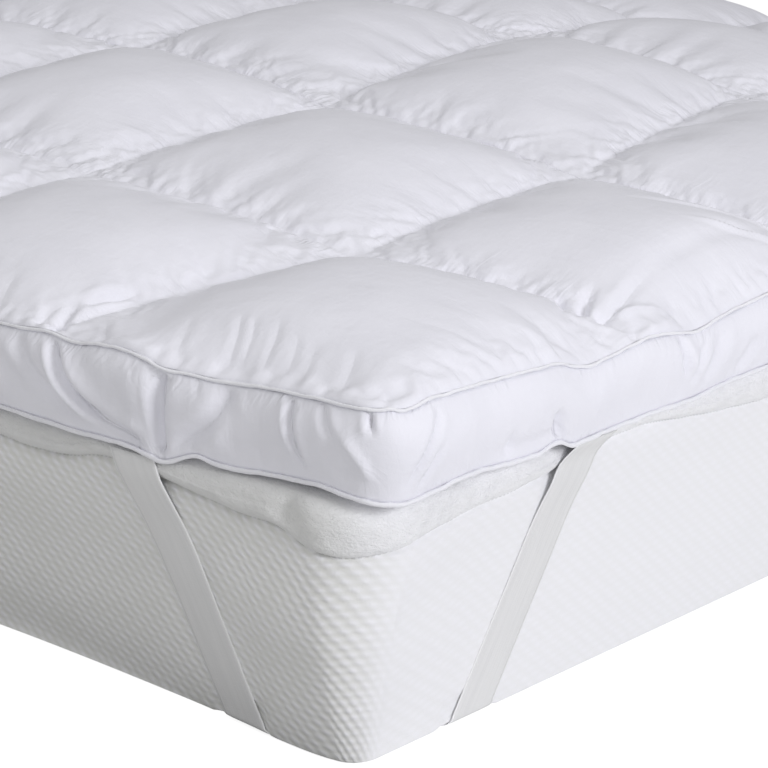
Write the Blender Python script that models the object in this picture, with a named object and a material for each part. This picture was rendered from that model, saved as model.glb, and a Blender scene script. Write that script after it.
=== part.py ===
"""A box-quilted mattress topper with elastic corner straps, lying on a plain mattress.

Metres, +Z up.  The origin is the centre of the mattress's underside.  +X runs along the foot
of the bed and +Y along its length, so the front-left corner is the one at -X and -Y.

The topper is one filled body: crowned boxes between sewn channels, a gusset that is drawn in
at both its seams, and a cord of piping in each of those seams.  Every corner has a strap that
leaves the lower seam, goes down both mattress faces and crosses under the corner.

The outline of the topper wanders, so it is kept as short tables of how far each side hangs
out and how high its two seams run, and every shape below reads those tables.
"""

import math

import bmesh
import bpy
import numpy as np

# ---------------------------------------------------------------- mattress
BED_WIDTH = 1.50
BED_LENGTH = 2.00
MATTRESS_HEIGHT = 0.200
CORNER_STEPS = 7
# The side of the mattress from the underside up: its height, how far it lies inside the face,
# and the radius of its corners, which are rounder at the top.
SIDE_PROFILE = (
    ("height", "inset", "corner"),
    (0.0000, 0.0060, 0.0190),
    (0.0018, 0.0018, 0.0193),
    (0.0060, 0.0000, 0.0200),
    (0.0600, 0.0000, 0.0300),
    (0.1200, 0.0000, 0.0430),
    (0.1600, 0.0000, 0.0550),
    (0.1680, 0.0040, 0.0570),    # stitched seam under the plush border
    (0.1750, 0.0004, 0.0585),
    (0.1860, 0.0010, 0.0610),
    (0.1941, 0.0059, 0.0630),
    (0.2000, 0.0200, 0.0640),
)

# ---------------------------------------------------------------- topper
GAP = 0.0003                # between two pieces that touch
OUTLINE_RADIUS = 0.035      # the topper's corners, seen from above
CORD_RADIUS = {"top": 0.0018, "bottom": 0.0025}
CORD_SIDES = 6
CORD_ROOM = 0.0004          # from a cord to the notch that it lies in
SEAM_SLOT = 0.0010          # how far the gusset's edge lies inside the seam line
SEAM_HALF_HEIGHT = 0.0012   # of the cloth edges at the bottom of the notch
PIPED_SEAM_HEIGHT = 0.275   # where the top panel's own height is measured from
DOME_HEIGHT = 0.075         # how much the seams in the middle lie above the piped one
CROWN_HEIGHT = 0.034        # of one box above its seams
CROWN_POWER = 0.60          # below 1: steep beside a seam, flat on top
FULLNESS_SPREAD = 0.10      # the boxes aren't equally full
FULLNESS_PHASES = (2.1, 1.3, 0.6)   # a step per box across, one per box along, and a start
EDGE_REACH = 0.050          # how far in the wander of the piped seam is felt
SEAM_FADES_AT = 0.011       # a channel is gone this near the piping
SEAM_ENDS_AT = 0.045        # and it is whole this far from it
GUSSET_BULGE = 0.011
GUSSET_WAVE = 0.16          # share by which its bulge comes and goes
WAVES_PER_METRE = (37.0, 31.0)      # in radians, along X and along Y
# The gusset between its seams, from the top down: its height and its share of the bulge.
GUSSET_PROFILE = (
    ("part", "share"),
    (0.78, 0.72),
    (0.50, 1.00),
    (0.22, 0.76),
)
RIM_WIDTH = 0.060           # the underside rises over this width towards its seam
SHARP_ANGLE = math.radians(60)      # edges sharper than this aren't shaded smooth

# Where the sewn channels run, as distances from the left side and from the foot of the topper.
CHANNELS_ACROSS = (0.0, 0.290, 0.600, 0.950, 1.225, 1.500)
CHANNELS_ALONG = (0.0, 0.275, 0.600, 0.915, 1.200, 1.475, 1.745, 2.000)
# Crossings that lie elsewhere than those lines say.
MOVED_CROSSINGS = (
    ("across", "along", "x", "y", "lift"),
    (0, 1, 0.000, 0.350, 0.000),
    (0, 2, 0.000, 0.655, 0.000),
    (0, 3, 0.000, 0.950, 0.000),
    (1, 0, 0.302, 0.000, 0.000),
    (1, 1, 0.284, 0.274, 0.021),
    (1, 2, 0.292, 0.608, 0.040),
    (2, 1, 0.596, 0.275, 0.036),
    (2, 2, 0.599, 0.590, 0.058),
    (2, 3, 0.647, 0.904, 0.070),
    (3, 1, 0.950, 0.330, 0.050),
    (3, 2, 0.978, 0.647, 0.068),
)
# One box is cut at these parts of its width; the outermost boxes have one more cut at the rim.
BOX_CUTS = (0.0, 0.10, 0.27, 0.50, 0.73, 0.90)
RIM_CUT = 0.035

# A side's seams, from a corner on: how far they hang out past the mattress, and the heights of
# the two cords' centres.
LEFT_FROM_FRONT = (
    ("along", "out", "top", "bottom"),
    (0.000, -0.010, 0.2790, 0.2045),
    (0.035, -0.010, 0.2780, 0.2070),
    (0.070, -0.010, 0.2770, 0.2090),
    (0.100, -0.010, 0.2760, 0.2075),
    (0.130, -0.009, 0.2745, 0.2055),
    (0.155, -0.007, 0.2725, 0.2035),
    (0.175, -0.004, 0.2725, 0.2055),
    (0.188, -0.002, 0.2730, 0.2080),
    (0.205, 0.001, 0.2735, 0.2030),
    (0.220, 0.004, 0.2745, 0.1980),
    (0.235, 0.004, 0.2775, 0.1990),
    (0.252, 0.004, 0.2805, 0.2020),
    (0.285, 0.004, 0.2805, 0.2025),
    (0.317, 0.004, 0.2765, 0.2015),
    (0.345, 0.004, 0.2795, 0.2025),
    (0.385, 0.004, 0.2765, 0.2035),
    (0.450, 0.004, 0.2765, 0.2045),
    (0.520, 0.004, 0.2770, 0.2060),
)
FRONT_FROM_LEFT = (
    ("along", "out", "top", "bottom"),
    (0.000, 0.016, 0.2790, 0.2045),
    (0.022, 0.016, 0.2775, 0.2045),
    (0.045, 0.016, 0.2810, 0.2065),
    (0.070, 0.016, 0.2800, 0.2085),
    (0.110, 0.015, 0.2785, 0.2090),
    (0.150, 0.015, 0.2765, 0.2055),
    (0.180, 0.015, 0.2745, 0.2050),
    (0.205, 0.014, 0.2725, 0.2080),
    (0.224, 0.014, 0.2660, 0.2010),
    (0.240, 0.014, 0.2625, 0.2015),
    (0.265, 0.015, 0.2640, 0.2025),
    (0.322, 0.016, 0.2690, 0.2035),
    (0.350, 0.016, 0.2660, 0.2030),
    (0.382, 0.015, 0.2605, 0.2025),
    (0.430, 0.014, 0.2655, 0.2045),
    (0.500, 0.014, 0.2715, 0.2060),
)
PLAIN_CORNER = (
    ("along", "out", "top", "bottom"),
    (0.000, 0.006, 0.277, 0.2070),
    (0.120, 0.006, 0.276, 0.2075),
    (0.190, 0.006, 0.273, 0.2055),
    (0.250, 0.007, 0.268, 0.2025),
    (0.310, 0.006, 0.272, 0.2050),
    (0.450, 0.006, 0.274, 0.2060),
)

# ---------------------------------------------------------------- straps
STRAP_WIDTH = 0.042
STRAP_THICKNESS = 0.0012
STRAP_CLEARANCE = 0.0012    # from its inner side to the mattress
STRAP_LIFT = 0.0005         # from its lower side to the floor, under the mattress
STRAP_LEAN = math.radians(33)
STRAP_SEAM_GAP = 0.0004     # from its upper end to the lower cord
STRAP_MEETS_FACE = 0.10     # height where it has come to lie along the mattress
HANG_PARTS = (0.06, 0.5, 1.0)       # its sections on the way there
STRAP_TWISTS_AT = 0.055     # height where it begins to turn towards the diagonal
TWIST_LENGTH = 0.05
TURN_RADIUS = 0.0095        # of its middle line, round the bottom edge
TURN_STEPS = 6
BRIDGE_PARTS = (0.25, 0.5, 0.75)    # its sections on the way under the corner
CHANNEL_CLEARANCE = 0.0024
# How far from the corner a strap's middle lies at the seam and at the bottom edge.
STRAPS = (
    ("corner", "x_sign", "y_sign", "top_x_face", "low_x_face", "top_y_face", "low_y_face"),
    ("front_left", -1, -1, 0.242, 0.120, 0.265, 0.126),
    ("front_right", 1, -1, 0.255, 0.123, 0.255, 0.123),
    ("back_left", -1, 1, 0.255, 0.123, 0.255, 0.123),
    ("back_right", 1, 1, 0.255, 0.123, 0.255, 0.123),
)

# ---------------------------------------------------------------- finishes
FINISHES = (
    ("name", "red", "green", "blue", "roughness"),
    ("down_proof_cotton", 0.86, 0.87, 0.91, 0.85),
    ("piping_cotton", 0.80, 0.83, 0.90, 0.80),
    ("elastic_tape", 0.62, 0.63, 0.62, 0.75),
    ("knitted_ticking", 0.74, 0.76, 0.74, 0.90),
)


def rows(table):
    """The rows of a table as dictionaries, named by its first row."""
    names = table[0]
    return [dict(zip(names, row)) for row in table[1:]]


def material(name):
    """A plain cloth finish in the colour that its row gives."""
    row = next(row for row in rows(FINISHES) if row["name"] == name)
    finish = bpy.data.materials.new(name)
    finish.use_nodes = True
    shader = finish.node_tree.nodes["Principled BSDF"]
    shader.inputs["Base Color"].default_value = (row["red"], row["green"], row["blue"], 1.0)
    shader.inputs["Roughness"].default_value = row["roughness"]
    shader.inputs["Metallic"].default_value = 0.0
    return finish


def mesh_object(name, vertices, faces, finish):
    """A closed mesh as an object with its own finish."""
    mesh = bpy.data.meshes.new(name)
    mesh.from_pydata([tuple(point) for point in vertices], [], faces)
    mesh.update()
    piece = bpy.data.objects.new(name, mesh)
    bpy.context.scene.collection.objects.link(piece)
    mesh.materials.append(finish)
    return piece


def ring_bands(ring_count, per_ring, closed=False):
    """Quads between neighbouring rings of points; `closed` joins the last ring to the first."""
    faces = []
    last = ring_count if closed else ring_count - 1
    for ring in range(last):
        below = ring * per_ring
        above = (ring + 1) % ring_count * per_ring
        for step in range(per_ring):
            after = (step + 1) % per_ring
            faces.append((below + step, below + after, above + after, above + step))
    return faces


# ---------------------------------------------------------------- the topper's outline


def side_lines(start_table, end_table, length):
    """One side from corner to corner: the second table is read backwards from the far end."""
    start = rows(start_table)
    end = [dict(row, along=length - row["along"]) for row in reversed(rows(end_table))]
    both = start + end
    return {key: np.array([row[key] for row in both]) for key in both[0]}


SIDES = {
    "left": side_lines(LEFT_FROM_FRONT, PLAIN_CORNER, BED_LENGTH),
    "right": side_lines(PLAIN_CORNER, PLAIN_CORNER, BED_LENGTH),
    "front": side_lines(FRONT_FROM_LEFT, PLAIN_CORNER, BED_WIDTH),
    "back": side_lines(PLAIN_CORNER, PLAIN_CORNER, BED_WIDTH),
}


def side_value(side, key, along):
    """A side's overhang or seam height at a distance from its first corner."""
    lines = SIDES[side]
    return np.interp(along, lines["along"], lines[key])


def round_corners(x, y):
    """Turn the square at each corner into a quarter disc of OUTLINE_RADIUS.

    A point at (p, q) from the disc's centre, in radii, moves to (p, q) max(p, q) / |(p, q)|.
    """
    side_x = np.where(x > BED_WIDTH / 2, BED_WIDTH - x, x)
    side_y = np.where(y > BED_LENGTH / 2, BED_LENGTH - y, y)
    p = np.clip((OUTLINE_RADIUS - side_x) / OUTLINE_RADIUS, 0.0, 1.0)
    q = np.clip((OUTLINE_RADIUS - side_y) / OUTLINE_RADIUS, 0.0, 1.0)
    both = (p > 0) & (q > 0)
    shrink = np.where(both, np.maximum(p, q) / np.maximum(np.hypot(p, q), 1e-9), 1.0)
    new_x = np.where(both, OUTLINE_RADIUS * (1 - p * shrink), side_x)
    new_y = np.where(both, OUTLINE_RADIUS * (1 - q * shrink), side_y)
    return (
        np.where(x > BED_WIDTH / 2, BED_WIDTH - new_x, new_x),
        np.where(y > BED_LENGTH / 2, BED_LENGTH - new_y, new_y),
    )


def plan(x, y):
    """Where a point of the panel lies, seen from above, with each side hung out by its table."""
    x, y = round_corners(x, y)
    across = x / BED_WIDTH
    along = y / BED_LENGTH
    left = side_value("left", "out", y) * (1 - across)
    right = side_value("right", "out", y) * across
    front = side_value("front", "out", x) * (1 - along)
    back = side_value("back", "out", x) * along
    return x - BED_WIDTH / 2 - left + right, y - BED_LENGTH / 2 - front + back


def edge_height(x, y, key):
    """A seam height carried inwards: the nearest sides count, fading over EDGE_REACH."""
    nearness = (
        (x, side_value("left", key, y)),
        (BED_WIDTH - x, side_value("right", key, y)),
        (y, side_value("front", key, x)),
        (BED_LENGTH - y, side_value("back", key, x)),
    )
    weights = [np.exp(-distance / EDGE_REACH) for distance, height in nearness]
    total = np.maximum(1.0, sum(weights))
    shifts = [w * (height - PIPED_SEAM_HEIGHT) for w, (d, height) in zip(weights, nearness)]
    return PIPED_SEAM_HEIGHT + sum(shifts) / total


# ---------------------------------------------------------------- the quilted top


def crossing_grid():
    """Plan positions and lifts of all crossings, with those that lie elsewhere moved."""
    x, y = np.meshgrid(CHANNELS_ACROSS, CHANNELS_ALONG, indexing="ij")
    lift = DOME_HEIGHT
    lift = lift * (1 - (2 * x / BED_WIDTH - 1) ** 2) * (1 - (2 * y / BED_LENGTH - 1) ** 2)
    for row in rows(MOVED_CROSSINGS):
        at = (row["across"], row["along"])
        x[at], y[at], lift[at] = row["x"], row["y"], row["lift"]
    return x, y, lift


def panel_lines(channels):
    """The cuts of the panel in one direction: box number and part of that box's width."""
    boxes = len(channels) - 1
    lines = [(box, cut) for box in range(boxes) for cut in BOX_CUTS]
    lines += [(0, RIM_CUT), (boxes - 1, 1 - RIM_CUT), (boxes - 1, 1.0)]
    lines.sort()
    return np.array([box for box, cut in lines]), np.array([cut for box, cut in lines])


def blend_of_box(values, box_x, box_y, part_x, part_y):
    """A value inside its box, bilinear between the four crossings."""
    low = values[box_x, box_y] * (1 - part_x) + values[box_x + 1, box_y] * part_x
    high = values[box_x, box_y + 1] * (1 - part_x) + values[box_x + 1, box_y + 1] * part_x
    return low * (1 - part_y) + high * part_y


def ramp(value, start, end):
    """0 before start, 1 after end, smooth between."""
    part = np.clip((value - start) / (end - start), 0.0, 1.0)
    return part * part * (3 - 2 * part)


def box_crown(part_x, part_y, from_side_x, from_side_y):
    """The crown of a box, 0 on its seams.

    It is sin(pi part) ** CROWN_POWER in both directions.  A channel that runs at a side of the
    topper fades between SEAM_ENDS_AT and SEAM_FADES_AT from the piping.
    """
    wave_x = np.sin(np.pi * part_x).clip(0, 1) ** CROWN_POWER
    wave_y = np.sin(np.pi * part_y).clip(0, 1) ** CROWN_POWER
    open_x = 1 - ramp(from_side_y, SEAM_FADES_AT, SEAM_ENDS_AT)
    open_y = 1 - ramp(from_side_x, SEAM_FADES_AT, SEAM_ENDS_AT)
    inner_x = wave_x + (1 - wave_x) * open_x
    inner_y = wave_y + (1 - wave_y) * open_y
    near_x = from_side_x < SEAM_ENDS_AT
    near_y = from_side_y < SEAM_ENDS_AT
    return np.where(near_x, wave_x, inner_x) * np.where(near_y, wave_y, inner_y)


def quilted_panel():
    """Points of the top panel on its grid of cuts, and each column's and row's plan position."""
    box_x, part_x = panel_lines(CHANNELS_ACROSS)
    box_y, part_y = panel_lines(CHANNELS_ALONG)
    box_x, box_y = np.meshgrid(box_x, box_y, indexing="ij")
    part_x, part_y = np.meshgrid(part_x, part_y, indexing="ij")
    node_x, node_y, node_lift = crossing_grid()
    x = blend_of_box(node_x, box_x, box_y, part_x, part_y)
    y = blend_of_box(node_y, box_x, box_y, part_x, part_y)
    lift = blend_of_box(node_lift, box_x, box_y, part_x, part_y)
    side_x = np.minimum(x, BED_WIDTH - x)
    side_y = np.minimum(y, BED_LENGTH - y)
    step_x, step_y, start = FULLNESS_PHASES
    fullness = 1 + FULLNESS_SPREAD * np.sin(step_x * box_x + step_y * box_y + start)
    crown = CROWN_HEIGHT * fullness * box_crown(part_x, part_y, side_x, side_y)
    flat_x, flat_y = plan(x, y)
    height = edge_height(x, y, "top") + lift + crown
    return np.stack([flat_x, flat_y, height], axis=-1), x, y


def rim_walk(grid):
    """The grid's outermost points in order, seen from above anticlockwise from the front-left."""
    front = grid[:-1, 0]
    right = grid[-1, :-1]
    back = grid[:0:-1, -1]
    left = grid[0, :0:-1]
    return np.concatenate([front, right, back, left])


def seam_height(x, y, key):
    """A cord's height at points of the outline, each read from the side that it lies on."""
    near = OUTLINE_RADIUS / 3       # a corner's arc changes sides about half way round
    on_left = x < near
    on_right = x > BED_WIDTH - near
    on_front = y < near
    height = np.where(on_front, side_value("front", key, x), side_value("back", key, x))
    height = np.where(on_left, side_value("left", key, y), height)
    return np.where(on_right, side_value("right", key, y), height)


def outline():
    """The seam line: plan points, outward directions, and the heights of both cords."""
    points, x, y = quilted_panel()
    flat = rim_walk(points)[:, :2]
    x, y = rim_walk(x), rim_walk(y)
    ahead = np.roll(flat, -1, axis=0) - flat
    ahead /= np.linalg.norm(ahead, axis=1)[:, None]
    behind = np.roll(ahead, 1, axis=0)
    forward = ahead + behind
    forward /= np.linalg.norm(forward, axis=1)[:, None]
    outward = np.stack([forward[:, 1], -forward[:, 0]], axis=1)
    stretch = 1 / np.sum(forward * ahead, axis=1)
    return flat, outward * stretch[:, None], seam_height(x, y, "top"), seam_height(x, y, "bottom")


def rim_ring(flat, outward, height, out, up):
    """One ring of points, `out` past the seam line and `up` above the given heights."""
    moved = flat + outward * out
    return np.column_stack([moved, height + up])


def seam_notch(flat, outward, heights, key):
    """Rings of the notch that a cord lies in, from the top down.

    The two in the middle are its bottom; the outer two are the edges of the cloth beside it.
    """
    notch = CORD_RADIUS[key] + CORD_ROOM
    return [
        rim_ring(flat, outward, heights, -SEAM_SLOT, notch),
        rim_ring(flat, outward, heights, -notch, SEAM_HALF_HEIGHT),
        rim_ring(flat, outward, heights, -notch, -SEAM_HALF_HEIGHT),
        rim_ring(flat, outward, heights, -SEAM_SLOT, -notch),
    ]


def topper_body():
    """The filled body: quilted panel, gusset drawn in at two corded seams, and underside."""
    panel = quilted_panel()[0]
    flat, outward, top, bottom = outline()
    wave_x, wave_y = WAVES_PER_METRE
    waves = np.sin(wave_x * flat[:, 0]) * np.cos(wave_y * flat[:, 1])
    bulge = GUSSET_BULGE * (1 + GUSSET_WAVE * waves)
    rings = seam_notch(flat, outward, top, "top")[1:]       # the panel takes the first one's place
    for row in rows(GUSSET_PROFILE):
        height = bottom + (top - bottom) * row["part"]
        rings.append(rim_ring(flat, outward, height, (bulge * row["share"])[:, None], 0.0))
    rings += seam_notch(flat, outward, bottom, "bottom")[:-1]
    rest = np.full_like(bottom, MATTRESS_HEIGHT + GAP)
    rings.append(rim_ring(flat, outward, rest, -RIM_WIDTH, 0.0))
    per_ring = len(flat)
    inner = panel[1:-1, 1:-1]
    columns, lines = inner.shape[:2]
    vertices = np.concatenate(rings + [inner.reshape(-1, 3)])
    faces = [tuple(reversed(face)) for face in ring_bands(len(rings), per_ring)]
    faces.append(tuple(reversed(range((len(rings) - 1) * per_ring, len(rings) * per_ring))))

    def point(i, j):
        """The mesh point of a grid place: the first ring on the rim, the panel inside it."""
        wide, long = columns + 1, lines + 1
        if j == 0:
            return i
        if i == wide:
            return wide + j
        if j == long:
            return wide + long + (wide - i)
        if i == 0:
            return (2 * wide + long + (long - j)) % per_ring
        return len(rings) * per_ring + (i - 1) * lines + (j - 1)

    for i in range(columns + 1):
        for j in range(lines + 1):
            faces.append((point(i, j), point(i + 1, j), point(i + 1, j + 1), point(i, j + 1)))
    body = mesh_object("topper", vertices, faces, material("down_proof_cotton"))
    body.data.shade_smooth()
    body.data.set_sharp_from_angle(angle=SHARP_ANGLE)
    return body


def piping(key, heights, flat, outward):
    """A closed cord of CORD_SIDES sides along the seam line at the given heights."""
    rings = []
    for side in range(CORD_SIDES):
        angle = 2 * math.pi * (side + 0.5) / CORD_SIDES
        out = CORD_RADIUS[key] * math.cos(angle)
        up = CORD_RADIUS[key] * math.sin(angle)
        rings.append(rim_ring(flat, outward, heights, out, up))
    faces = ring_bands(CORD_SIDES, len(flat), closed=True)
    finish = material("piping_cotton")
    cord = mesh_object("piping_" + key, np.concatenate(rings), faces, finish)
    cord.data.shade_smooth()
    return cord


# ---------------------------------------------------------------- the mattress


def mattress_ring(height, inset, corner):
    """A rectangle `inset` inside the bed's outline, whose corners' centres lie at `corner`."""
    radius = corner - inset
    middle_x = BED_WIDTH / 2 - corner
    middle_y = BED_LENGTH / 2 - corner
    ring = []
    for quarter, (sign_x, sign_y) in enumerate(((1, -1), (1, 1), (-1, 1), (-1, -1))):
        for step in range(CORNER_STEPS + 1):
            angle = math.radians(90) * (quarter - 1 + step / CORNER_STEPS)
            x = sign_x * middle_x + radius * math.cos(angle)
            y = sign_y * middle_y + radius * math.sin(angle)
            ring.append((x, y, height))
    return ring


def mattress():
    """The plain mattress, with a shallow crossing channel pressed into it by each strap."""
    rings = [mattress_ring(**row) for row in rows(SIDE_PROFILE)]
    per_ring = len(rings[0])
    faces = ring_bands(len(rings), per_ring)
    faces.append(tuple(reversed(range(per_ring))))
    faces.append(tuple(range((len(rings) - 1) * per_ring, len(rings) * per_ring)))
    vertices = [point for ring in rings for point in ring]
    block = mesh_object("mattress", vertices, faces, material("knitted_ticking"))
    for row in rows(STRAPS):
        cut = block.modifiers.new("channel_" + row["corner"], "BOOLEAN")
        cut.operation = "DIFFERENCE"
        cut.solver = "EXACT"
        cut.object = strap_channel(row)
    return block


# ---------------------------------------------------------------- the straps

# Numbers of two sections, counted from the seam: the one where the twist towards the diagonal
# begins, and the first one of the turn round the bottom edge.
TWIST_SECTION = 1 + len(HANG_PARTS)
TURN_SECTION = TWIST_SECTION + 1


def strap_side_path(side, along):
    """The strap's middle line on one face: how far out of the face, and how high.

    It hangs from the lower cord, lies close to the face, and turns round the bottom edge on an
    arc that ends just above the floor.
    """
    half = STRAP_THICKNESS / 2
    close = STRAP_CLEARANCE + half
    low = STRAP_LIFT + half
    hang = float(side_value(side, "out", along))
    start = float(side_value(side, "bottom", along)) - CORD_RADIUS["bottom"] - STRAP_SEAM_GAP
    path = [(hang, start)]
    for part in HANG_PARTS:
        path.append((hang + (close - hang) * part, start + (STRAP_MEETS_FACE - start) * part))
    path.append((close, STRAP_TWISTS_AT))
    for step in range(TURN_STEPS + 1):
        angle = math.radians(90) * step / TURN_STEPS
        out = close - TURN_RADIUS * (1 - math.cos(angle))
        path.append((out, low + TURN_RADIUS * (1 - math.sin(angle))))
    return np.array(path)


def path_normals(path):
    """Unit normals of a line in its own plane, to the left of its way."""
    ahead = np.gradient(path, axis=0)
    ahead /= np.linalg.norm(ahead, axis=1)[:, None]
    return np.column_stack([ahead[:, 1], -ahead[:, 0]])


def strap_sections(row, width, inner, outer):
    """Sections of a strap from one face under the corner to the other.

    Each section is its four corners: near and far edge on the outer side, then on the inner.
    `inner` and `outer` are distances from the middle line.  On a face a section is level; under
    the mattress the edges run straight from one face's bottom edge to the other's.
    """
    corner = np.array([row["x_sign"] * BED_WIDTH / 2, row["y_sign"] * BED_LENGTH / 2])
    x_side = "left" if row["x_sign"] < 0 else "right"
    y_side = "front" if row["y_sign"] < 0 else "back"
    halves = []
    for side, axis, top, low in (
        (x_side, 0, row["top_x_face"], row["low_x_face"]),
        (y_side, 1, row["top_y_face"], row["low_y_face"]),
    ):
        away = 1 if row["y_sign" if axis == 0 else "x_sign"] < 0 else -1
        from_first = top if away == 1 else (BED_LENGTH if axis == 0 else BED_WIDTH) - top
        path = strap_side_path(side, from_first)
        normal = path_normals(path)
        run = np.concatenate([[0], np.cumsum(np.linalg.norm(np.diff(path, axis=0), axis=1))])
        to_turn = run[TURN_SECTION]
        middle = top + (low - top) * np.minimum(run / to_turn, 1.0)
        middle = middle - np.maximum(run - to_turn, 0.0)
        twist = np.clip((run - run[TWIST_SECTION]) / TWIST_LENGTH, 0, 1)
        lean = STRAP_LEAN + (math.radians(45) - STRAP_LEAN) * twist
        half_width = width / 2 / np.cos(lean)
        outward = row["x_sign"] if axis == 0 else row["y_sign"]
        sections = []
        for place, n, at, half in zip(path, normal, middle, half_width):
            quad = []
            for edge, shift in ((-1, -outer), (1, -outer), (1, inner), (-1, inner)):
                out, height = place + n * shift
                distance = at + edge * half
                flat = [0.0, 0.0]
                flat[axis] = corner[axis] + outward * out
                flat[1 - axis] = corner[1 - axis] + away * distance
                quad.append((flat[0], flat[1], height))
            sections.append(quad)
        halves.append(np.array(sections))
    first, second = halves
    bridge = [first[-1] + (second[-1] - first[-1]) * part for part in BRIDGE_PARTS]
    return np.concatenate([first, np.array(bridge), second[::-1]])


def strip_object(name, sections, finish):
    """A closed strip through its four-cornered sections."""
    vertices = sections.reshape(-1, 3)
    count = len(sections)
    faces = ring_bands(count, 4)
    faces.append((3, 2, 1, 0))
    faces.append(tuple(4 * (count - 1) + k for k in range(4)))
    strip = mesh_object(name, vertices, faces, finish)
    turned = bmesh.new()
    turned.from_mesh(strip.data)
    bmesh.ops.recalc_face_normals(turned, faces=turned.faces)
    turned.to_mesh(strip.data)
    turned.free()
    return strip


def strap(row):
    """One elastic strap."""
    half = STRAP_THICKNESS / 2
    sections = strap_sections(row, STRAP_WIDTH, half, half)
    return strip_object("strap_" + row["corner"], sections, material("elastic_tape"))


def strap_channel(row):
    """The cutter that leaves a strap room round the bottom edge and under the mattress."""
    wide = STRAP_WIDTH + 2 * CHANNEL_CLEARANCE
    deep = STRAP_THICKNESS / 2 + CHANNEL_CLEARANCE
    sections = strap_sections(row, wide, deep, deep)
    ends = TURN_SECTION + 1     # the channel begins and ends just inside the turns
    cutter = strip_object(
        "channel_" + row["corner"], sections[ends:-ends], material("elastic_tape")
    )
    cutter.hide_render = True
    cutter.display_type = "WIRE"
    return cutter


def main():
    """Build every piece in an empty file."""
    for old in list(bpy.data.objects):
        bpy.data.objects.remove(old, do_unlink=True)
    mattress()
    topper_body()
    flat, outward, top, bottom = outline()
    piping("top", top, flat, outward)
    piping("bottom", bottom, flat, outward)
    for row in rows(STRAPS):
        strap(row)


main()
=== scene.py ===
# %% [markdown]
# # A box-quilted topper, strapped to its mattress
#
# The object is a bag of closely woven white cotton, filled with feathers and sewn into boxes,
# with a strip of the same cotton round its sides and a cord of piping in each seam.  It lies
# on a mattress, and elastic straps at its corners go down and under it.
#
# The mattress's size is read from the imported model, and the seam lines are the tables of the
# part's own source.  This script dresses that model: the bag is simulated as cloth, and the other
# pieces are surfaces of two parameters worked out with numpy.

# %% The frame, and the sizes that are read from it
import math

import bmesh
import bpy
import numpy as np
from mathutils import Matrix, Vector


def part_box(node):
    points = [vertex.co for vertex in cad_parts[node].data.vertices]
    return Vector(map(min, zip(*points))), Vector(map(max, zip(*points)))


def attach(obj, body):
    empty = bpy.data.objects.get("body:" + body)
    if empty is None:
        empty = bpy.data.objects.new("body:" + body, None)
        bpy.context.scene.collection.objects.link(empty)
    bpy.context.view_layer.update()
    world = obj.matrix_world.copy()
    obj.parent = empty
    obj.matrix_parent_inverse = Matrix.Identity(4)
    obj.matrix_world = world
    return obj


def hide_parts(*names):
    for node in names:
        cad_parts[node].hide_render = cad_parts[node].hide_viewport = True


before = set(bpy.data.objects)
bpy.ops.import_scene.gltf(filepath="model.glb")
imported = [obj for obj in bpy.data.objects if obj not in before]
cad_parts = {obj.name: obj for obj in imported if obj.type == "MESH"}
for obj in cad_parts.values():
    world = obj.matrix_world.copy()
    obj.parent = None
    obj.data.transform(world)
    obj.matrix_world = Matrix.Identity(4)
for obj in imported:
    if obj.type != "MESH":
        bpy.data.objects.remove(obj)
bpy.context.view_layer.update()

mattress_low, mattress_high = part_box("mattress")
BED_WIDTH = mattress_high.x - mattress_low.x
BED_LENGTH = mattress_high.y - mattress_low.y
MATTRESS_HEIGHT = mattress_high.z - mattress_low.z
print(f"bed {BED_WIDTH:.3f} x {BED_LENGTH:.3f} m, mattress {MATTRESS_HEIGHT:.3f} m high")

# %% [markdown]
# ## The camera
#
# The photograph looks down on one corner of the bed through a long lens.  Straight edges of the
# mattress and of the topper were used to find where it stood: to the left of the foot of the
# bed, a little over two metres from the corner.  A long lens keeps the far boxes nearly as
# large as the near ones, which a wide one would not.

# %% The camera
NEAR_CORNER = np.array([mattress_low.x, mattress_low.y, 0.0])
CAMERA_FROM_CORNER = np.array([-1.558, -1.392, 0.940])
CAMERA_HEADING = math.radians(41.37)    # from +X towards +Y
CAMERA_DIP = math.radians(16.98)
FOCAL_PIXELS = 3000
PICTURE_PIXELS = 768
SENSOR_MM = 36

camera_data = bpy.data.cameras.new("photo_camera")
camera_data.sensor_width = SENSOR_MM
camera_data.lens = SENSOR_MM * FOCAL_PIXELS / PICTURE_PIXELS
camera_data.clip_end = 100
camera = bpy.data.objects.new("photo_camera", camera_data)
bpy.context.scene.collection.objects.link(camera)
camera.location = NEAR_CORNER + CAMERA_FROM_CORNER
camera.rotation_euler = (math.radians(90) - CAMERA_DIP, 0, CAMERA_HEADING - math.radians(90))
bpy.context.scene.camera = camera
print(f"camera at {tuple(round(v, 3) for v in camera.location)}, lens {camera_data.lens:.1f} mm")

# %% [markdown]
# ## Small tools: tables, smooth lines and repeatable noise
#
# Sewn things wander.  Where the wander matters it is a short table with named columns, read
# through a smooth curve.  Where it is only liveliness it is value noise: random numbers at
# whole places with a smooth step between them, always from the same seed.


# %% Tables and smooth lines
def rows(table):
    """The rows of a table as dictionaries, named by its first row."""
    return [dict(zip(table[0], row)) for row in table[1:]]


def column(table, name):
    """One column of a table as an array."""
    return np.array([row[name] for row in rows(table)])


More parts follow.
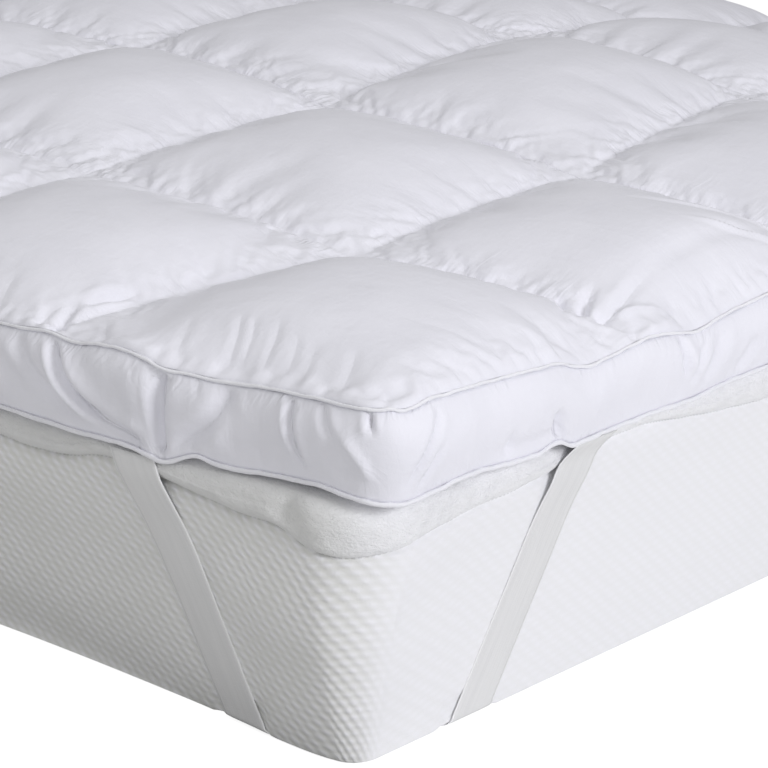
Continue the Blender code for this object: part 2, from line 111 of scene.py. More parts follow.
def smooth_line(at, places, values):
    """A curve through the values: cubic Hermite, with the slope at a place from its neighbours."""
    slopes = np.gradient(values, places)
    at = np.clip(at, places[0], places[-1])
    left = np.clip(np.searchsorted(places, at, side="right") - 1, 0, len(places) - 2)
    span = places[left + 1] - places[left]
    t = (at - places[left]) / span
    return (
        values[left] * (1 - t) ** 2 * (1 + 2 * t)
        + values[left + 1] * t**2 * (3 - 2 * t)
        + slopes[left] * span * t * (1 - t) ** 2
        - slopes[left + 1] * span * t**2 * (1 - t)
    )


def ramp(value, start, end):
    """0 before start, 1 after end, and the smooth step 3t^2 - 2t^3 between."""
    t = np.clip((value - start) / (end - start), 0.0, 1.0)
    return t * t * (3 - 2 * t)


print("a smooth step half way up:", float(ramp(0.5, 0.0, 1.0)))


# %% Repeatable noise
NOISE_LENGTH = 1024


def ripple(seed, place):
    """Noise from -1 to 1 along a line: random values at whole places, a smooth step between."""
    values = np.random.default_rng(seed).uniform(-1, 1, NOISE_LENGTH)
    whole = np.floor(place).astype(int)
    part = ramp(place - whole, 0.0, 1.0)
    return values[whole % NOISE_LENGTH] * (1 - part) + values[(whole + 1) % NOISE_LENGTH] * part


def cloud(seed, x, y):
    """Noise from -1 to 1 on a plane: random values at whole places, smooth steps both ways."""
    side = 128
    values = np.random.default_rng(seed).uniform(-1, 1, (side, side))
    i, j = np.floor(x).astype(int), np.floor(y).astype(int)
    s, t = ramp(x - i, 0.0, 1.0), ramp(y - j, 0.0, 1.0)
    low = values[i % side, j % side] * (1 - s) + values[(i + 1) % side, j % side] * s
    high = values[i % side, (j + 1) % side] * (1 - s) + values[(i + 1) % side, (j + 1) % side] * s
    return low * (1 - t) + high * t


print("noise repeats:", ripple(3, np.array([0.5, 1.5])).round(3))


# %% A mesh from arrays
def quads_of_grid(columns, lines, start=0):
    """Faces of a grid of points that are numbered line by line within each column."""
    number = start + np.arange(columns * lines).reshape(columns, lines)
    corners = (number[:-1, :-1], number[1:, :-1], number[1:, 1:], number[:-1, 1:])
    return np.stack(corners, axis=-1).reshape(-1, 4)


def mesh_piece(
    name,
    points,
    faces,
    finishes,
    places,
    round_trip=1e9,
    finish_of_face=None,
    distances=None,
    rim_distances=None,
    folds=None,
):
    """A smooth mesh object from arrays of points and faces.

    `places` says where each point lies on its flat cloth, in metres.  It is kept for every face
    corner as the attribute cloth_place.  On a piece that goes all the way round, a face that
    joins the end of the walk to its start has its small values raised by `round_trip`.
    Seam distances are four numbers, kept as seam_distances for every face corner: `distances`
    holds those of the first faces, corner by corner, and `rim_distances` those of each point.
    `folds` are kept as fold_line: for every point, how far it is from a crease, how deep that is.
    """
    mesh = bpy.data.meshes.new(name)
    mesh.from_pydata(points.tolist(), [], [list(map(int, face)) for face in faces])
    mesh.update()
    mesh.shade_smooth()
    point_of = np.empty(len(mesh.loops), np.int32)
    mesh.loops.foreach_get("vertex_index", point_of)
    first, size = np.empty(len(mesh.polygons), np.int32), np.empty(len(mesh.polygons), np.int32)
    mesh.polygons.foreach_get("loop_start", first)
    mesh.polygons.foreach_get("loop_total", size)
    at = places[point_of].astype(np.float32)
    farthest = np.repeat(np.maximum.reduceat(at[:, 0], first), size)
    at[:, 0] += round_trip * (farthest - at[:, 0] > round_trip / 2)
    kept = mesh.attributes.new("cloth_place", "FLOAT_VECTOR", "CORNER")
    kept.data.foreach_set("vector", at.ravel())
    if distances is not None:
        all_corners = rim_distances[point_of].astype(np.float32)
        all_corners[: len(distances)] = distances
        kept = mesh.attributes.new("seam_distances", "FLOAT_COLOR", "CORNER")
        kept.data.foreach_set("color", all_corners.ravel())
    if folds is not None:
        kept = mesh.attributes.new("fold_line", "FLOAT_VECTOR", "POINT")
        line = np.concatenate([folds, 0 * folds[:, :1]], axis=1)
        kept.data.foreach_set("vector", line.astype(np.float32).ravel())
    for finish in finishes:
        mesh.materials.append(finish)
    if finish_of_face is not None:
        mesh.polygons.foreach_set("material_index", finish_of_face.astype(np.int32))
    piece = bpy.data.objects.new(name, mesh)
    bpy.context.scene.collection.objects.link(piece)
    print(f"{name}: {len(mesh.vertices)} points, {len(mesh.polygons)} faces")
    return piece


def turn_outwards(piece):
    """Make a closed piece's faces point out."""
    work = bmesh.new()
    work.from_mesh(piece.data)
    bmesh.ops.recalc_face_normals(work, faces=work.faces)
    work.to_mesh(piece.data)
    work.free()


print("a grid of 3 by 3 points has", len(quads_of_grid(3, 3)), "faces")

# %% [markdown]
# ## The outline
#
# A topper never lies square on its mattress.  Here it hangs out over the foot, lies a little
# inside the left edge near the corner, and its seams dip where the straps pull.  Each side is a
# table from a corner on: how far the seam hangs out, and how high its two cords run.

# %% The outline's tables
CORD_RADIUS = {"top": 0.0014, "bottom": 0.0019}
OUTLINE_RADIUS = 0.035      # of the topper's corners, seen from above
PIPED_SEAM_HEIGHT = 0.275
EDGE_REACH = 0.050          # how far in the wander of the piped seam is felt

LEFT_FROM_FRONT = (
    ("along", "out", "top", "bottom"),
    (0.000, -0.010, 0.2790, 0.2045),
    (0.035, -0.010, 0.2780, 0.2070),
    (0.070, -0.010, 0.2770, 0.2090),
    (0.100, -0.010, 0.2760, 0.2075),
    (0.130, -0.009, 0.2745, 0.2055),
    (0.155, -0.007, 0.2725, 0.2035),
    (0.175, -0.004, 0.2725, 0.2055),
    (0.188, -0.002, 0.2730, 0.2080),
    (0.205, 0.001, 0.2735, 0.2030),
    (0.220, 0.004, 0.2745, 0.1980),
    (0.235, 0.004, 0.2775, 0.1990),
    (0.252, 0.004, 0.2805, 0.2020),
    (0.285, 0.004, 0.2805, 0.2025),
    (0.317, 0.004, 0.2765, 0.2015),
    (0.345, 0.004, 0.2795, 0.2025),
    (0.385, 0.004, 0.2765, 0.2035),
    (0.450, 0.004, 0.2765, 0.2045),
    (0.520, 0.004, 0.2770, 0.2060),
)
FRONT_FROM_LEFT = (
    ("along", "out", "top", "bottom"),
    (0.000, 0.016, 0.2790, 0.2045),
    (0.022, 0.016, 0.2775, 0.2045),
    (0.045, 0.016, 0.2810, 0.2065),
    (0.070, 0.016, 0.2800, 0.2085),
    (0.110, 0.015, 0.2785, 0.2090),
    (0.150, 0.015, 0.2765, 0.2055),
    (0.180, 0.015, 0.2745, 0.2050),
    (0.205, 0.014, 0.2725, 0.2080),
    (0.224, 0.014, 0.2660, 0.2010),
    (0.240, 0.014, 0.2625, 0.2015),
    (0.265, 0.015, 0.2640, 0.2025),
    (0.322, 0.016, 0.2690, 0.2035),
    (0.350, 0.016, 0.2660, 0.2030),
    (0.382, 0.015, 0.2605, 0.2025),
    (0.430, 0.014, 0.2655, 0.2045),
    (0.500, 0.014, 0.2715, 0.2060),
)
PLAIN_CORNER = (
    ("along", "out", "top", "bottom"),
    (0.000, 0.006, 0.277, 0.2070),
    (0.120, 0.006, 0.276, 0.2075),
    (0.190, 0.006, 0.273, 0.2055),
    (0.250, 0.007, 0.268, 0.2025),
    (0.310, 0.006, 0.272, 0.2050),
    (0.450, 0.006, 0.274, 0.2060),
)


def side_lines(start_table, end_table, length):
    """One side from corner to corner: the second table is read backwards from the far end."""
    names = start_table[0]
    first = {name: column(start_table, name) for name in names}
    last = {name: column(end_table, name)[::-1] for name in names}
    last["along"] = length - last["along"]
    return {name: np.concatenate([first[name], last[name]]) for name in names}


SIDES = {
    "left": side_lines(LEFT_FROM_FRONT, PLAIN_CORNER, BED_LENGTH),
    "right": side_lines(PLAIN_CORNER, PLAIN_CORNER, BED_LENGTH),
    "front": side_lines(FRONT_FROM_LEFT, PLAIN_CORNER, BED_WIDTH),
    "back": side_lines(PLAIN_CORNER, PLAIN_CORNER, BED_WIDTH),
}


def side_value(side, key, along):
    """A side's overhang or seam height at distances from its first corner."""
    return smooth_line(along, SIDES[side]["along"], SIDES[side][key])


print("left seam hangs out at 24 cm:", float(side_value("left", "out", np.array(0.24))))


# %% From the flat panel to the bed
def round_corners(x, y):
    """Turn the square at each corner into a quarter disc of OUTLINE_RADIUS.

    A point at (p, q) from the disc's centre, in radii, moves to (p, q) max(p, q) / |(p, q)|.
    """
    far_x, far_y = x > BED_WIDTH / 2, y > BED_LENGTH / 2
    side_x, side_y = np.where(far_x, BED_WIDTH - x, x), np.where(far_y, BED_LENGTH - y, y)
    p = np.clip((OUTLINE_RADIUS - side_x) / OUTLINE_RADIUS, 0.0, 1.0)
    q = np.clip((OUTLINE_RADIUS - side_y) / OUTLINE_RADIUS, 0.0, 1.0)
    both = (p > 0) & (q > 0)
    shrink = np.where(both, np.maximum(p, q) / np.maximum(np.hypot(p, q), 1e-9), 1.0)
    new_x = np.where(both, OUTLINE_RADIUS * (1 - p * shrink), side_x)
    new_y = np.where(both, OUTLINE_RADIUS * (1 - q * shrink), side_y)
    return (
        np.where(far_x, BED_WIDTH - new_x, new_x),
        np.where(far_y, BED_LENGTH - new_y, new_y),
    )


def plan(x, y):
    """Where a point of the panel lies, seen from above, with each side hung out by its table."""
    x, y = round_corners(x, y)
    across, along = x / BED_WIDTH, y / BED_LENGTH
    left = side_value("left", "out", y) * (1 - across)
    right = side_value("right", "out", y) * across
    front = side_value("front", "out", x) * (1 - along)
    back = side_value("back", "out", x) * along
    return x - BED_WIDTH / 2 - left + right, y - BED_LENGTH / 2 - front + back


def edge_height(x, y, key):
    """A seam height carried inwards: the nearest sides count, fading over EDGE_REACH."""
    nearness = (
        (x, side_value("left", key, y)),
        (BED_WIDTH - x, side_value("right", key, y)),
        (y, side_value("front", key, x)),
        (BED_LENGTH - y, side_value("back", key, x)),
    )
    weights = [np.exp(-distance / EDGE_REACH) for distance, _ in nearness]
    shifts = [w * (height - PIPED_SEAM_HEIGHT) for w, (_, height) in zip(weights, nearness)]
    return PIPED_SEAM_HEIGHT + sum(shifts) / np.maximum(1.0, sum(weights))


print("near corner of the panel:", [round(float(v), 3) for v in plan(np.array(0.0), np.array(0.0))])

# %% [markdown]
# ## The sewn channels
#
# The channels cross at points that lie a little off a regular grid, and higher towards the
# middle of the bed, where the filling has nowhere to go.  A place on the panel is given in
# boxes: column 1.5 is the middle of the second box.  Between the four crossings of a box,
# everything is bilinear, so the channels stay straight from crossing to crossing.

# %% Crossings and the grid of the panel
DOME_HEIGHT = 0.075
SEAM_RISE = 0.007           # a channel is higher between two crossings than at them
CROWN_HEIGHT = 0.034
CHANNELS_ACROSS = np.array([0.0, 0.290, 0.600, 0.950, 1.225, 1.500])
CHANNELS_ALONG = np.array([0.0, 0.275, 0.600, 0.915, 1.200, 1.475, 1.745, 2.000])
MOVED_CROSSINGS = (
    ("across", "along", "x", "y", "lift"),
    (0, 1, 0.000, 0.350, 0.000),
    (0, 2, 0.000, 0.655, 0.000),
    (0, 3, 0.000, 0.950, 0.000),
    (1, 0, 0.302, 0.000, 0.000),
    (1, 1, 0.284, 0.274, 0.021),
    (1, 2, 0.292, 0.608, 0.040),
    (2, 1, 0.596, 0.275, 0.036),
    (2, 2, 0.599, 0.590, 0.058),
    (2, 3, 0.647, 0.904, 0.070),
    (3, 1, 0.950, 0.330, 0.050),
    (3, 2, 0.978, 0.647, 0.068),
)
CELLS_ACROSS = (50, 50, 50, 50, 25)             # cells of each box that the cloth solver sees
CELLS_ALONG = (50, 50, 50, 50, 25, 25, 25)

crossing_x, crossing_y = np.meshgrid(CHANNELS_ACROSS, CHANNELS_ALONG, indexing="ij")
crossing_lift = (
    DOME_HEIGHT
    * (1 - (2 * crossing_x / CHANNELS_ACROSS[-1] - 1) ** 2)
    * (1 - (2 * crossing_y / CHANNELS_ALONG[-1] - 1) ** 2)
)
for row in rows(MOVED_CROSSINGS):
    at = (row["across"], row["along"])
    crossing_x[at], crossing_y[at], crossing_lift[at] = row["x"], row["y"], row["lift"]


def box_line(cells):
    """Places along one direction, in boxes, with the given number of cells in each."""
    steps = [box + np.arange(count) / count for box, count in enumerate(cells)]
    return np.concatenate(steps + [[float(len(cells))]])


def in_box(values, c, r):
    """A value at column c and row r, bilinear between the four crossings of the box."""
    i = np.minimum(c.astype(int), values.shape[0] - 2)
    j = np.minimum(r.astype(int), values.shape[1] - 2)
    s, t = c - i, r - j
    low = values[i, j] * (1 - s) + values[i + 1, j] * s
    high = values[i, j + 1] * (1 - s) + values[i + 1, j + 1] * s
    return low * (1 - t) + high * t


def arch(part):
    """sin(pi part) to a power below 1: steep at both ends, flat in the middle."""
    return np.sin(np.pi * (part - np.floor(part))).clip(0, 1) ** 0.6


def panel_shape(c, r, fullness):
    """The panel before it is inflated: seam heights, plus a share of the boxes' crowns."""
    x, y = in_box(crossing_x, c, r), in_box(crossing_y, c, r)
    height = edge_height(x, y, "top") + in_box(crossing_lift, c, r)
    height = height + SEAM_RISE * np.maximum(arch(c), arch(r))
    height = height + fullness * CROWN_HEIGHT * arch(c) * arch(r)
    flat_x, flat_y = plan(x, y)
    return np.stack([flat_x, flat_y, height], axis=-1), x, y


coarse_c, coarse_r = np.meshgrid(box_line(CELLS_ACROSS), box_line(CELLS_ALONG), indexing="ij")
print("the solver's grid:", coarse_c.shape)


# %% The seam line round the panel
SIDE_CHANGE = OUTLINE_RADIUS / 3    # a corner's arc changes sides about half way round


def rim_walk(grid):
    """The grid's outermost points in order, seen from above anticlockwise from the near corner."""
    return np.concatenate([grid[:-1, 0], grid[-1, :-1], grid[:0:-1, -1], grid[0, :0:-1]])


def seam_height(x, y, key):
    """A cord's height at points of the outline, each read from the side that it lies on."""
    height = np.where(y < SIDE_CHANGE, side_value("front", key, x), side_value("back", key, x))
    height = np.where(x < SIDE_CHANGE, side_value("left", key, y), height)
    return np.where(x > BED_WIDTH - SIDE_CHANGE, side_value("right", key, y), height)


def outline(c, r):
    """The seam line of a grid: plan points, outward directions, cord heights, panel places."""
    points, x, y = panel_shape(c, r, 0.0)
    flat = rim_walk(points)[:, :2]
    x, y = rim_walk(x), rim_walk(y)
    ahead = np.roll(flat, -1, axis=0) - flat
    ahead /= np.linalg.norm(ahead, axis=1)[:, None]
    forward = ahead + np.roll(ahead, 1, axis=0)
    forward /= np.linalg.norm(forward, axis=1)[:, None]
    outward = np.stack([forward[:, 1], -forward[:, 0]], axis=1)
    outward = outward / np.sum(forward * ahead, axis=1)[:, None]
    return {
        "flat": flat,
        "outward": outward,
        "top": seam_height(x, y, "top"),
        "bottom": seam_height(x, y, "bottom"),
        "x": x,
        "y": y,
    }


def ring(rim, height, out, up):
    """Points `out` past the seam line and `up` above the given heights."""
    return np.column_stack([rim["flat"] + rim["outward"] * out, height + up])


coarse_rim = outline(coarse_c, coarse_r)
print("points round the solver's outline:", len(coarse_rim["top"]))

# %% [markdown]
# ## Filling the bag
#
# Feathers press outwards everywhere, and the thread holds the channels down.  A real pucker is
# what the spare cloth does between the two, so it is best left to the cloth solver: the seams
# are pinned, the cloth is a few parts in a hundred larger than the space it has, and pressure
# does the rest.  The channels stop short of the piping, as the sewing machine's foot does, and
# the cloth makes its own fold round each loose end.  Panel and gusset are blown up together.

# %% What is pinned, and how the gusset starts
START_FULLNESS = 0.55           # of the crowns, before the cloth is blown up
GUSSET_START = 0.7              # of the gusset's bulge, likewise
GUSSET_LINES = 13
GUSSET_BULGE = 0.011
NOTCH = {"top": 0.0011, "bottom": 0.0014}   # the cloth's edge hides in the cord
SLOT = 0.0008
LIP = 0.0012                    # the cloth meets a seam this far above and below its cord's middle
SEAM_ENDS = {"left": 0.055, "right": 0.045, "front": 0.034, "back": 0.045}

panel_start, panel_x, panel_y = panel_shape(coarse_c, coarse_r, START_FULLNESS)
on_channel = (coarse_c == np.floor(coarse_c)) | (coarse_r == np.floor(coarse_r))
channel_open = (
    (panel_x < SEAM_ENDS["left"])
    | (panel_x > BED_WIDTH - SEAM_ENDS["right"])
    | (panel_y < SEAM_ENDS["front"])
    | (panel_y > BED_LENGTH - SEAM_ENDS["back"])
)
on_rim = np.zeros(coarse_c.shape, bool)
on_rim[0], on_rim[-1], on_rim[:, 0], on_rim[:, -1] = True, True, True, True
pinned = on_rim | (on_channel & ~channel_open)


def put_on_rim(grid, line):
    """Write a walk round the rim back into the grid's outermost points."""
    wide, long = grid.shape[0] - 1, grid.shape[1] - 1
    grid[:-1, 0] = line[:wide]
    grid[-1, :-1] = line[wide : wide + long]
    grid[:0:-1, -1] = line[wide + long : 2 * wide + long]
    grid[0, :0:-1] = line[2 * wide + long :]


def gusset_rings(rim, lines, bulge):
    """Rings down the gusset, each out by bulge times the square root of a parabola."""
    rings = []
    for part in np.linspace(0, 1, lines):
        low, high = rim["bottom"] + NOTCH["bottom"], rim["top"] - NOTCH["top"]
        height = high + (low - high) * part
        out = -SLOT + bulge * math.sqrt(4 * part * (1 - part))
        rings.append(ring(rim, height, out, 0.0))
    return np.array(rings)


put_on_rim(panel_start, ring(coarse_rim, coarse_rim["top"], -NOTCH["top"], LIP))
gusset_start = gusset_rings(coarse_rim, GUSSET_LINES, GUSSET_BULGE * GUSSET_START)
print("pinned points:", int(pinned.sum()), "of", pinned.size)

# %% The cloth simulation
CLOTH = {
    "frames": 18,
    "quality": 4,
    "spare": 0.045,             # how much larger the cloth is than the space it has
    "pressure": 3.2,
    "stiffness": 15.0,
    "shear_share": 0.4,         # how stiff the cloth is against shear, as a share of that
    "bending": 0.05,
    "air_damping": 3.0,
    "mass": 0.15,
    "grain": 0.0003,            # random heights at the start, so that nothing buckles evenly
}


def bag_faces(columns, lines, ring_lines, per_ring):
    """Faces of the panel grid and of the gusset's rings below it."""
    top = quads_of_grid(columns, lines)
    start = columns * lines
    number = start + np.arange(ring_lines * per_ring).reshape(ring_lines, per_ring)
    after = np.roll(number, -1, axis=1)
    corners = (number[:-1], number[1:], after[1:], after[:-1])
    return np.concatenate([top, np.stack(corners, axis=-1).reshape(-1, 4)])


def blow_up(panel, gusset):
    """Run the cloth solver on the bag and give back both arrays in their final shape."""
    rng = np.random.default_rng(11)
    count = panel.shape[0] * panel.shape[1]
    start = np.concatenate([panel.reshape(-1, 3), gusset.reshape(-1, 3)])
    held = np.zeros(len(start), bool)
    held[:count] = pinned.ravel()
    held_rings = held[count:].reshape(gusset.shape[:2])
    held_rings[0], held_rings[-1] = True, True
    start[~held, 2] += rng.normal(0, CLOTH["grain"], int((~held).sum()))
    faces = bag_faces(*panel.shape[:2], *gusset.shape[:2])
    mesh = bpy.data.meshes.new("bag")
    mesh.from_pydata(start.tolist(), [], faces.tolist())
    bag = bpy.data.objects.new("bag", mesh)
    bpy.context.scene.collection.objects.link(bag)
    bag.vertex_groups.new(name="sewn").add(np.flatnonzero(held).tolist(), 1.0, "REPLACE")
    cloth = bag.modifiers.new("cloth", "CLOTH")
    solver = cloth.settings
    solver.quality = CLOTH["quality"]
    solver.mass = CLOTH["mass"]
    solver.vertex_group_mass = "sewn"
    solver.tension_stiffness = solver.compression_stiffness = CLOTH["stiffness"]
    solver.shear_stiffness = CLOTH["shear_share"] * CLOTH["stiffness"]
    solver.bending_stiffness = CLOTH["bending"]
    solver.air_damping = CLOTH["air_damping"]
    solver.shrink_min = solver.shrink_max = -CLOTH["spare"]
    solver.use_pressure = True
    solver.uniform_pressure_force = CLOTH["pressure"]
    solver.effector_weights.gravity = 0.0
    cloth.collision_settings.use_collision = False
    cloth.point_cache.frame_start, cloth.point_cache.frame_end = 1, CLOTH["frames"]
    for step in range(1, CLOTH["frames"] + 1):
        bpy.context.scene.frame_set(step)
    blown = bag.evaluated_get(bpy.context.evaluated_depsgraph_get())
    points = np.empty(len(start) * 3)
    blown.data.vertices.foreach_get("co", points)
    points = points.reshape(-1, 3)
    bpy.data.objects.remove(bag, do_unlink=True)
    bpy.context.scene.frame_set(1)
    points[held] = start[held]
    return points[:count].reshape(panel.shape), points[count:].reshape(gusset.shape)


panel_blown, gusset_blown = blow_up(panel_start, gusset_start)
print("highest point of the blown panel:", round(float(panel_blown[..., 2].max()), 4))


# %% [markdown]
# ## From the solver's grid to a fine one
#
# The solver's cells are about six millimetres wide, and they leave a slight grain where the
# cloth is tight.  The crowns are smoothed a little, away from the channels.  Two places are
# smoothed much more: the slope along the left edge, and the second box's slope along the foot,
# which the photograph shows drawn tight.  Then every cell is split in four through cubic
# midpoints, box by box, so that the channels stay sharp.

# %% Smoothing and splitting
CALM_SHARE = 0.9                # how much of the smoothed cloth is taken on the crowns
CALM_FROM_CHANNEL = (0.008, 0.060)
EVEN_TURNS = 30                 # along the left edge only, so that its slope keeps its shape
EVEN_SHARE = 0.85
EVEN_STARTS, EVEN_ENDS = (0.004, 0.020), (0.090, 0.160)     # in from the left edge, in metres
EVEN_FROM_CHANNEL = (0.08, 0.22)                            # in boxes
DRAWN_TURNS = 60                # all round, for the slope of the second box along the foot
DRAWN_FROM_CHANNEL = (0.006, 0.030)
DRAWN_STARTS, DRAWN_ENDS = (0.290, 0.340), (0.170, 0.240)   # along the foot, and in from it


def blurred(grid):
    """Each inner point as the weighted mean of its 3 by 3 neighbours, weights 1 2 1."""
    soft = grid.copy()
    soft[1:-1] = (grid[:-2] + 2 * grid[1:-1] + grid[2:]) / 4
    both = soft.copy()
    both[:, 1:-1] = (soft[:, :-2] + 2 * soft[:, 1:-1] + soft[:, 2:]) / 4
    return both


def split(values, cells):
    """Twice as many points along the first axis: midpoints weigh their neighbours -1 9 9 -1."""
    parts, start = [], 0
    for count in cells:
        box = values[start : start + count + 1]
        before, after = 2 * box[:1] - box[1:2], 2 * box[-1:] - box[-2:-1]
        line = np.concatenate([before, box, after])
        middle = (9 * line[1:-2] + 9 * line[2:-1] - line[:-3] - line[3:]) / 16
        both = np.empty((2 * count,) + values.shape[1:])
        both[0::2], both[1::2] = box[:-1], middle
        parts.append(both)
        start += count
    return np.concatenate(parts + [values[-1:]])


def box_distances(c, r, x, y, i=None, j=None):
    """Distances to the four sides of box (i, j), in metres; each point's own box if not given."""
    i = np.minimum(c.astype(int), len(CELLS_ACROSS) - 1) if i is None else i
    j = np.minimum(r.astype(int), len(CELLS_ALONG) - 1) if j is None else j
    low_x, high_x = in_box(crossing_x, i + 0 * c, r), in_box(crossing_x, i + 1.0 + 0 * c, r)
    low_y, high_y = in_box(crossing_y, c, j + 0 * r), in_box(crossing_y, c, j + 1.0 + 0 * r)
    return x - low_x, high_x - x, y - low_y, high_y - y, i, j


reaches = box_distances(coarse_c, coarse_r, panel_x, panel_y)
coarse_reach = np.minimum.reduce(reaches[:4])
calm = blurred(blurred(blurred(panel_blown)))
calm_share = (CALM_SHARE * ramp(coarse_reach, *CALM_FROM_CHANNEL))[..., None]
panel_calm = panel_blown * (1 - calm_share) + calm * calm_share
even = panel_calm.copy()
for turn in range(EVEN_TURNS):
    even[:, 1:-1] = (even[:, :-2] + 2 * even[:, 1:-1] + even[:, 2:]) / 4
drawn = panel_calm.copy()
for turn in range(DRAWN_TURNS):
    inner = drawn[1:-1, 1:-1]
    drawn[1:-1, 1:-1] = (
        4 * inner + drawn[:-2, 1:-1] + drawn[2:, 1:-1] + drawn[1:-1, :-2] + drawn[1:-1, 2:]
    ) / 8
from_channel = np.minimum(coarse_r - np.floor(coarse_r), np.ceil(coarse_r) - coarse_r)
even_share = EVEN_SHARE * ramp(panel_x, *EVEN_STARTS) * (1 - ramp(panel_x, *EVEN_ENDS))
even_share = (even_share * ramp(from_channel, *EVEN_FROM_CHANNEL))[..., None]
panel_calm = panel_calm * (1 - even_share) + even * even_share
drawn_share = ramp(coarse_reach, *DRAWN_FROM_CHANNEL) * ramp(panel_x, *DRAWN_STARTS)
drawn_share = (drawn_share * (1 - ramp(panel_y, *DRAWN_ENDS)))[..., None]
panel_calm = panel_calm * (1 - drawn_share) + drawn * drawn_share

FULLNESS = (
    ("across", "along", "near_left", "near_right", "far_left", "far_right"),
    (0, 0, 0.95, 0.95, 0.60, 0.80),
    (1, 0, 0.90, 0.90, 0.85, 0.85),
    (0, 1, 0.90, 0.90, 0.78, 0.78),
    (1, 1, 0.90, 0.90, 0.74, 0.76),
)
USUAL_FULLNESS = 0.9


def fullness(c, r):
    """How full each box is, bilinear between its own four corners, or as usual without a row."""
    full = np.full(c.shape, USUAL_FULLNESS)
    for row in rows(FULLNESS):
        here = (np.floor(c) == row["across"]) & (np.floor(r) == row["along"])
        s, t = c - row["across"], r - row["along"]
        near = row["near_left"] * (1 - s) + row["near_right"] * s
        far = row["far_left"] * (1 - s) + row["far_right"] * s
        full = np.where(here, near * (1 - t) + far * t, full)
    return full


SWELLS = (
    ("x", "y", "lift", "reach_x", "reach_y"),   # feathers that have gathered, or gone elsewhere
    (0.055, 0.165, 0.0100, 0.042, 0.062),
    (0.050, 0.275, -0.0050, 0.045, 0.035),
    (0.460, 0.060, 0.0070, 0.130, 0.050),
    (0.150, 0.080, -0.0035, 0.080, 0.035),
    (0.160, 0.200, 0.0030, 0.080, 0.050),
)
SWELL_FROM_CHANNEL = (0.0, 0.030)

bare = in_box(crossing_lift, coarse_c, coarse_r) + edge_height(panel_x, panel_y, "top")
above = panel_calm[..., 2] - bare
panel_calm[..., 2] = bare + above * np.where(above > 0, fullness(coarse_c, coarse_r), 1.0)
swollen = np.zeros(panel_x.shape)
for row in rows(SWELLS):
    off = ((panel_x - row["x"]) / row["reach_x"]) ** 2 + ((panel_y - row["y"]) / row["reach_y"]) ** 2
    swollen += row["lift"] * np.exp(-off)
panel_calm[..., 2] += swollen * ramp(coarse_reach, *SWELL_FROM_CHANNEL)

LOWER_BULGE = 0.45              # the strap draws the lower half of the gusset nearly flat
BULGE_HEIGHTS = (0.05, 0.75)    # from the lower cord up, as shares: where the bulge comes back
GUSSET_TURNS = 8                # rounds of smoothing down and along the gusset
gusset_flat = gusset_blown[..., :2] - coarse_rim["flat"]
full_share = ramp(np.linspace(1, 0, GUSSET_LINES), *BULGE_HEIGHTS)
kept_share = LOWER_BULGE + (1 - LOWER_BULGE) * full_share
gusset_flat[1:-1] *= kept_share[1:-1, None, None]
gusset_blown[..., :2] = coarse_rim["flat"] + gusset_flat
for turn in range(GUSSET_TURNS):
    beside = (np.roll(gusset_blown, 1, axis=1) + np.roll(gusset_blown, -1, axis=1)) / 2
    gusset_blown[1:-1] = (
        2 * beside[1:-1] + 2 * gusset_blown[1:-1] + gusset_blown[2:] + gusset_blown[:-2]
    ) / 6

fine_cells_across = [2 * count for count in CELLS_ACROSS]
fine_cells_along = [2 * count for count in CELLS_ALONG]
panel = split(panel_calm, CELLS_ACROSS)
panel = split(panel.swapaxes(0, 1), CELLS_ALONG).swapaxes(0, 1)
rim_cells = list(CELLS_ACROSS) + list(CELLS_ALONG)
rim_cells += list(CELLS_ACROSS[::-1]) + list(CELLS_ALONG[::-1])
gusset = split(gusset_blown, [GUSSET_LINES - 1])
gusset = np.concatenate([gusset, gusset[:, :1]], axis=1).swapaxes(0, 1)
gusset = split(gusset, rim_cells)[:-1].swapaxes(0, 1)

fine_c, fine_r = np.meshgrid(box_line(fine_cells_across), box_line(fine_cells_along), indexing="ij")
fine_rim = outline(fine_c, fine_r)
rim_step = np.linalg.norm(np.diff(fine_rim["flat"], axis=0, append=fine_rim["flat"][:1]), axis=1)
rim_run = np.concatenate([[0.0], np.cumsum(rim_step)[:-1]])
ROUND_TRIP = float(rim_step.sum())
put_on_rim(panel, ring(fine_rim, fine_rim["top"], -NOTCH["top"], LIP))
fine_x, fine_y = in_box(crossing_x, fine_c, fine_r), in_box(crossing_y, fine_c, fine_r)
print("fine panel:", panel.shape, "fine gusset:", gusset.shape)

# %% [markdown]
# ## Fine puckers along the channels
#
# The thread gathers the cloth into puckers about a centimetre apart, finer than the solver can
# see.  Each is a short ridge that stands square to its channel, leans a little, rises at once
# and dies away after two to five centimetres.

# %% Puckers
PUCKER_PITCH = 0.0058           # between two random values: ridges are about twice as far apart
PUCKER_HEIGHT = 0.0009
PUCKER_LENGTH = 0.026
PUCKER_LEAN = 0.45              # at most, as sideways distance over distance from the channel
PUCKER_RISE = 0.004             # at this distance from its channel a pucker has half its height


def puckers(distance, along, shift):
    """Height of the puckers beside one channel.

    Noise along the channel, read at along + lean x distance, times d / (d + 4 mm), times
    exp(-(d / length)^1.5).
    """
    lean = PUCKER_LEAN * ripple(21, along / 0.055 + shift)
    length = PUCKER_LENGTH * (1 + 0.55 * ripple(22, along / 0.035 + shift))
    line = ripple(23, (along + lean * distance) / PUCKER_PITCH + shift)
    strength = 0.65 + 0.5 * ripple(24, along / 0.045 + shift)
    near = distance.clip(0, None)
    fade = near / (near + PUCKER_RISE) * np.exp(-((near / length) ** 1.5))
    return PUCKER_HEIGHT * strength * line * fade


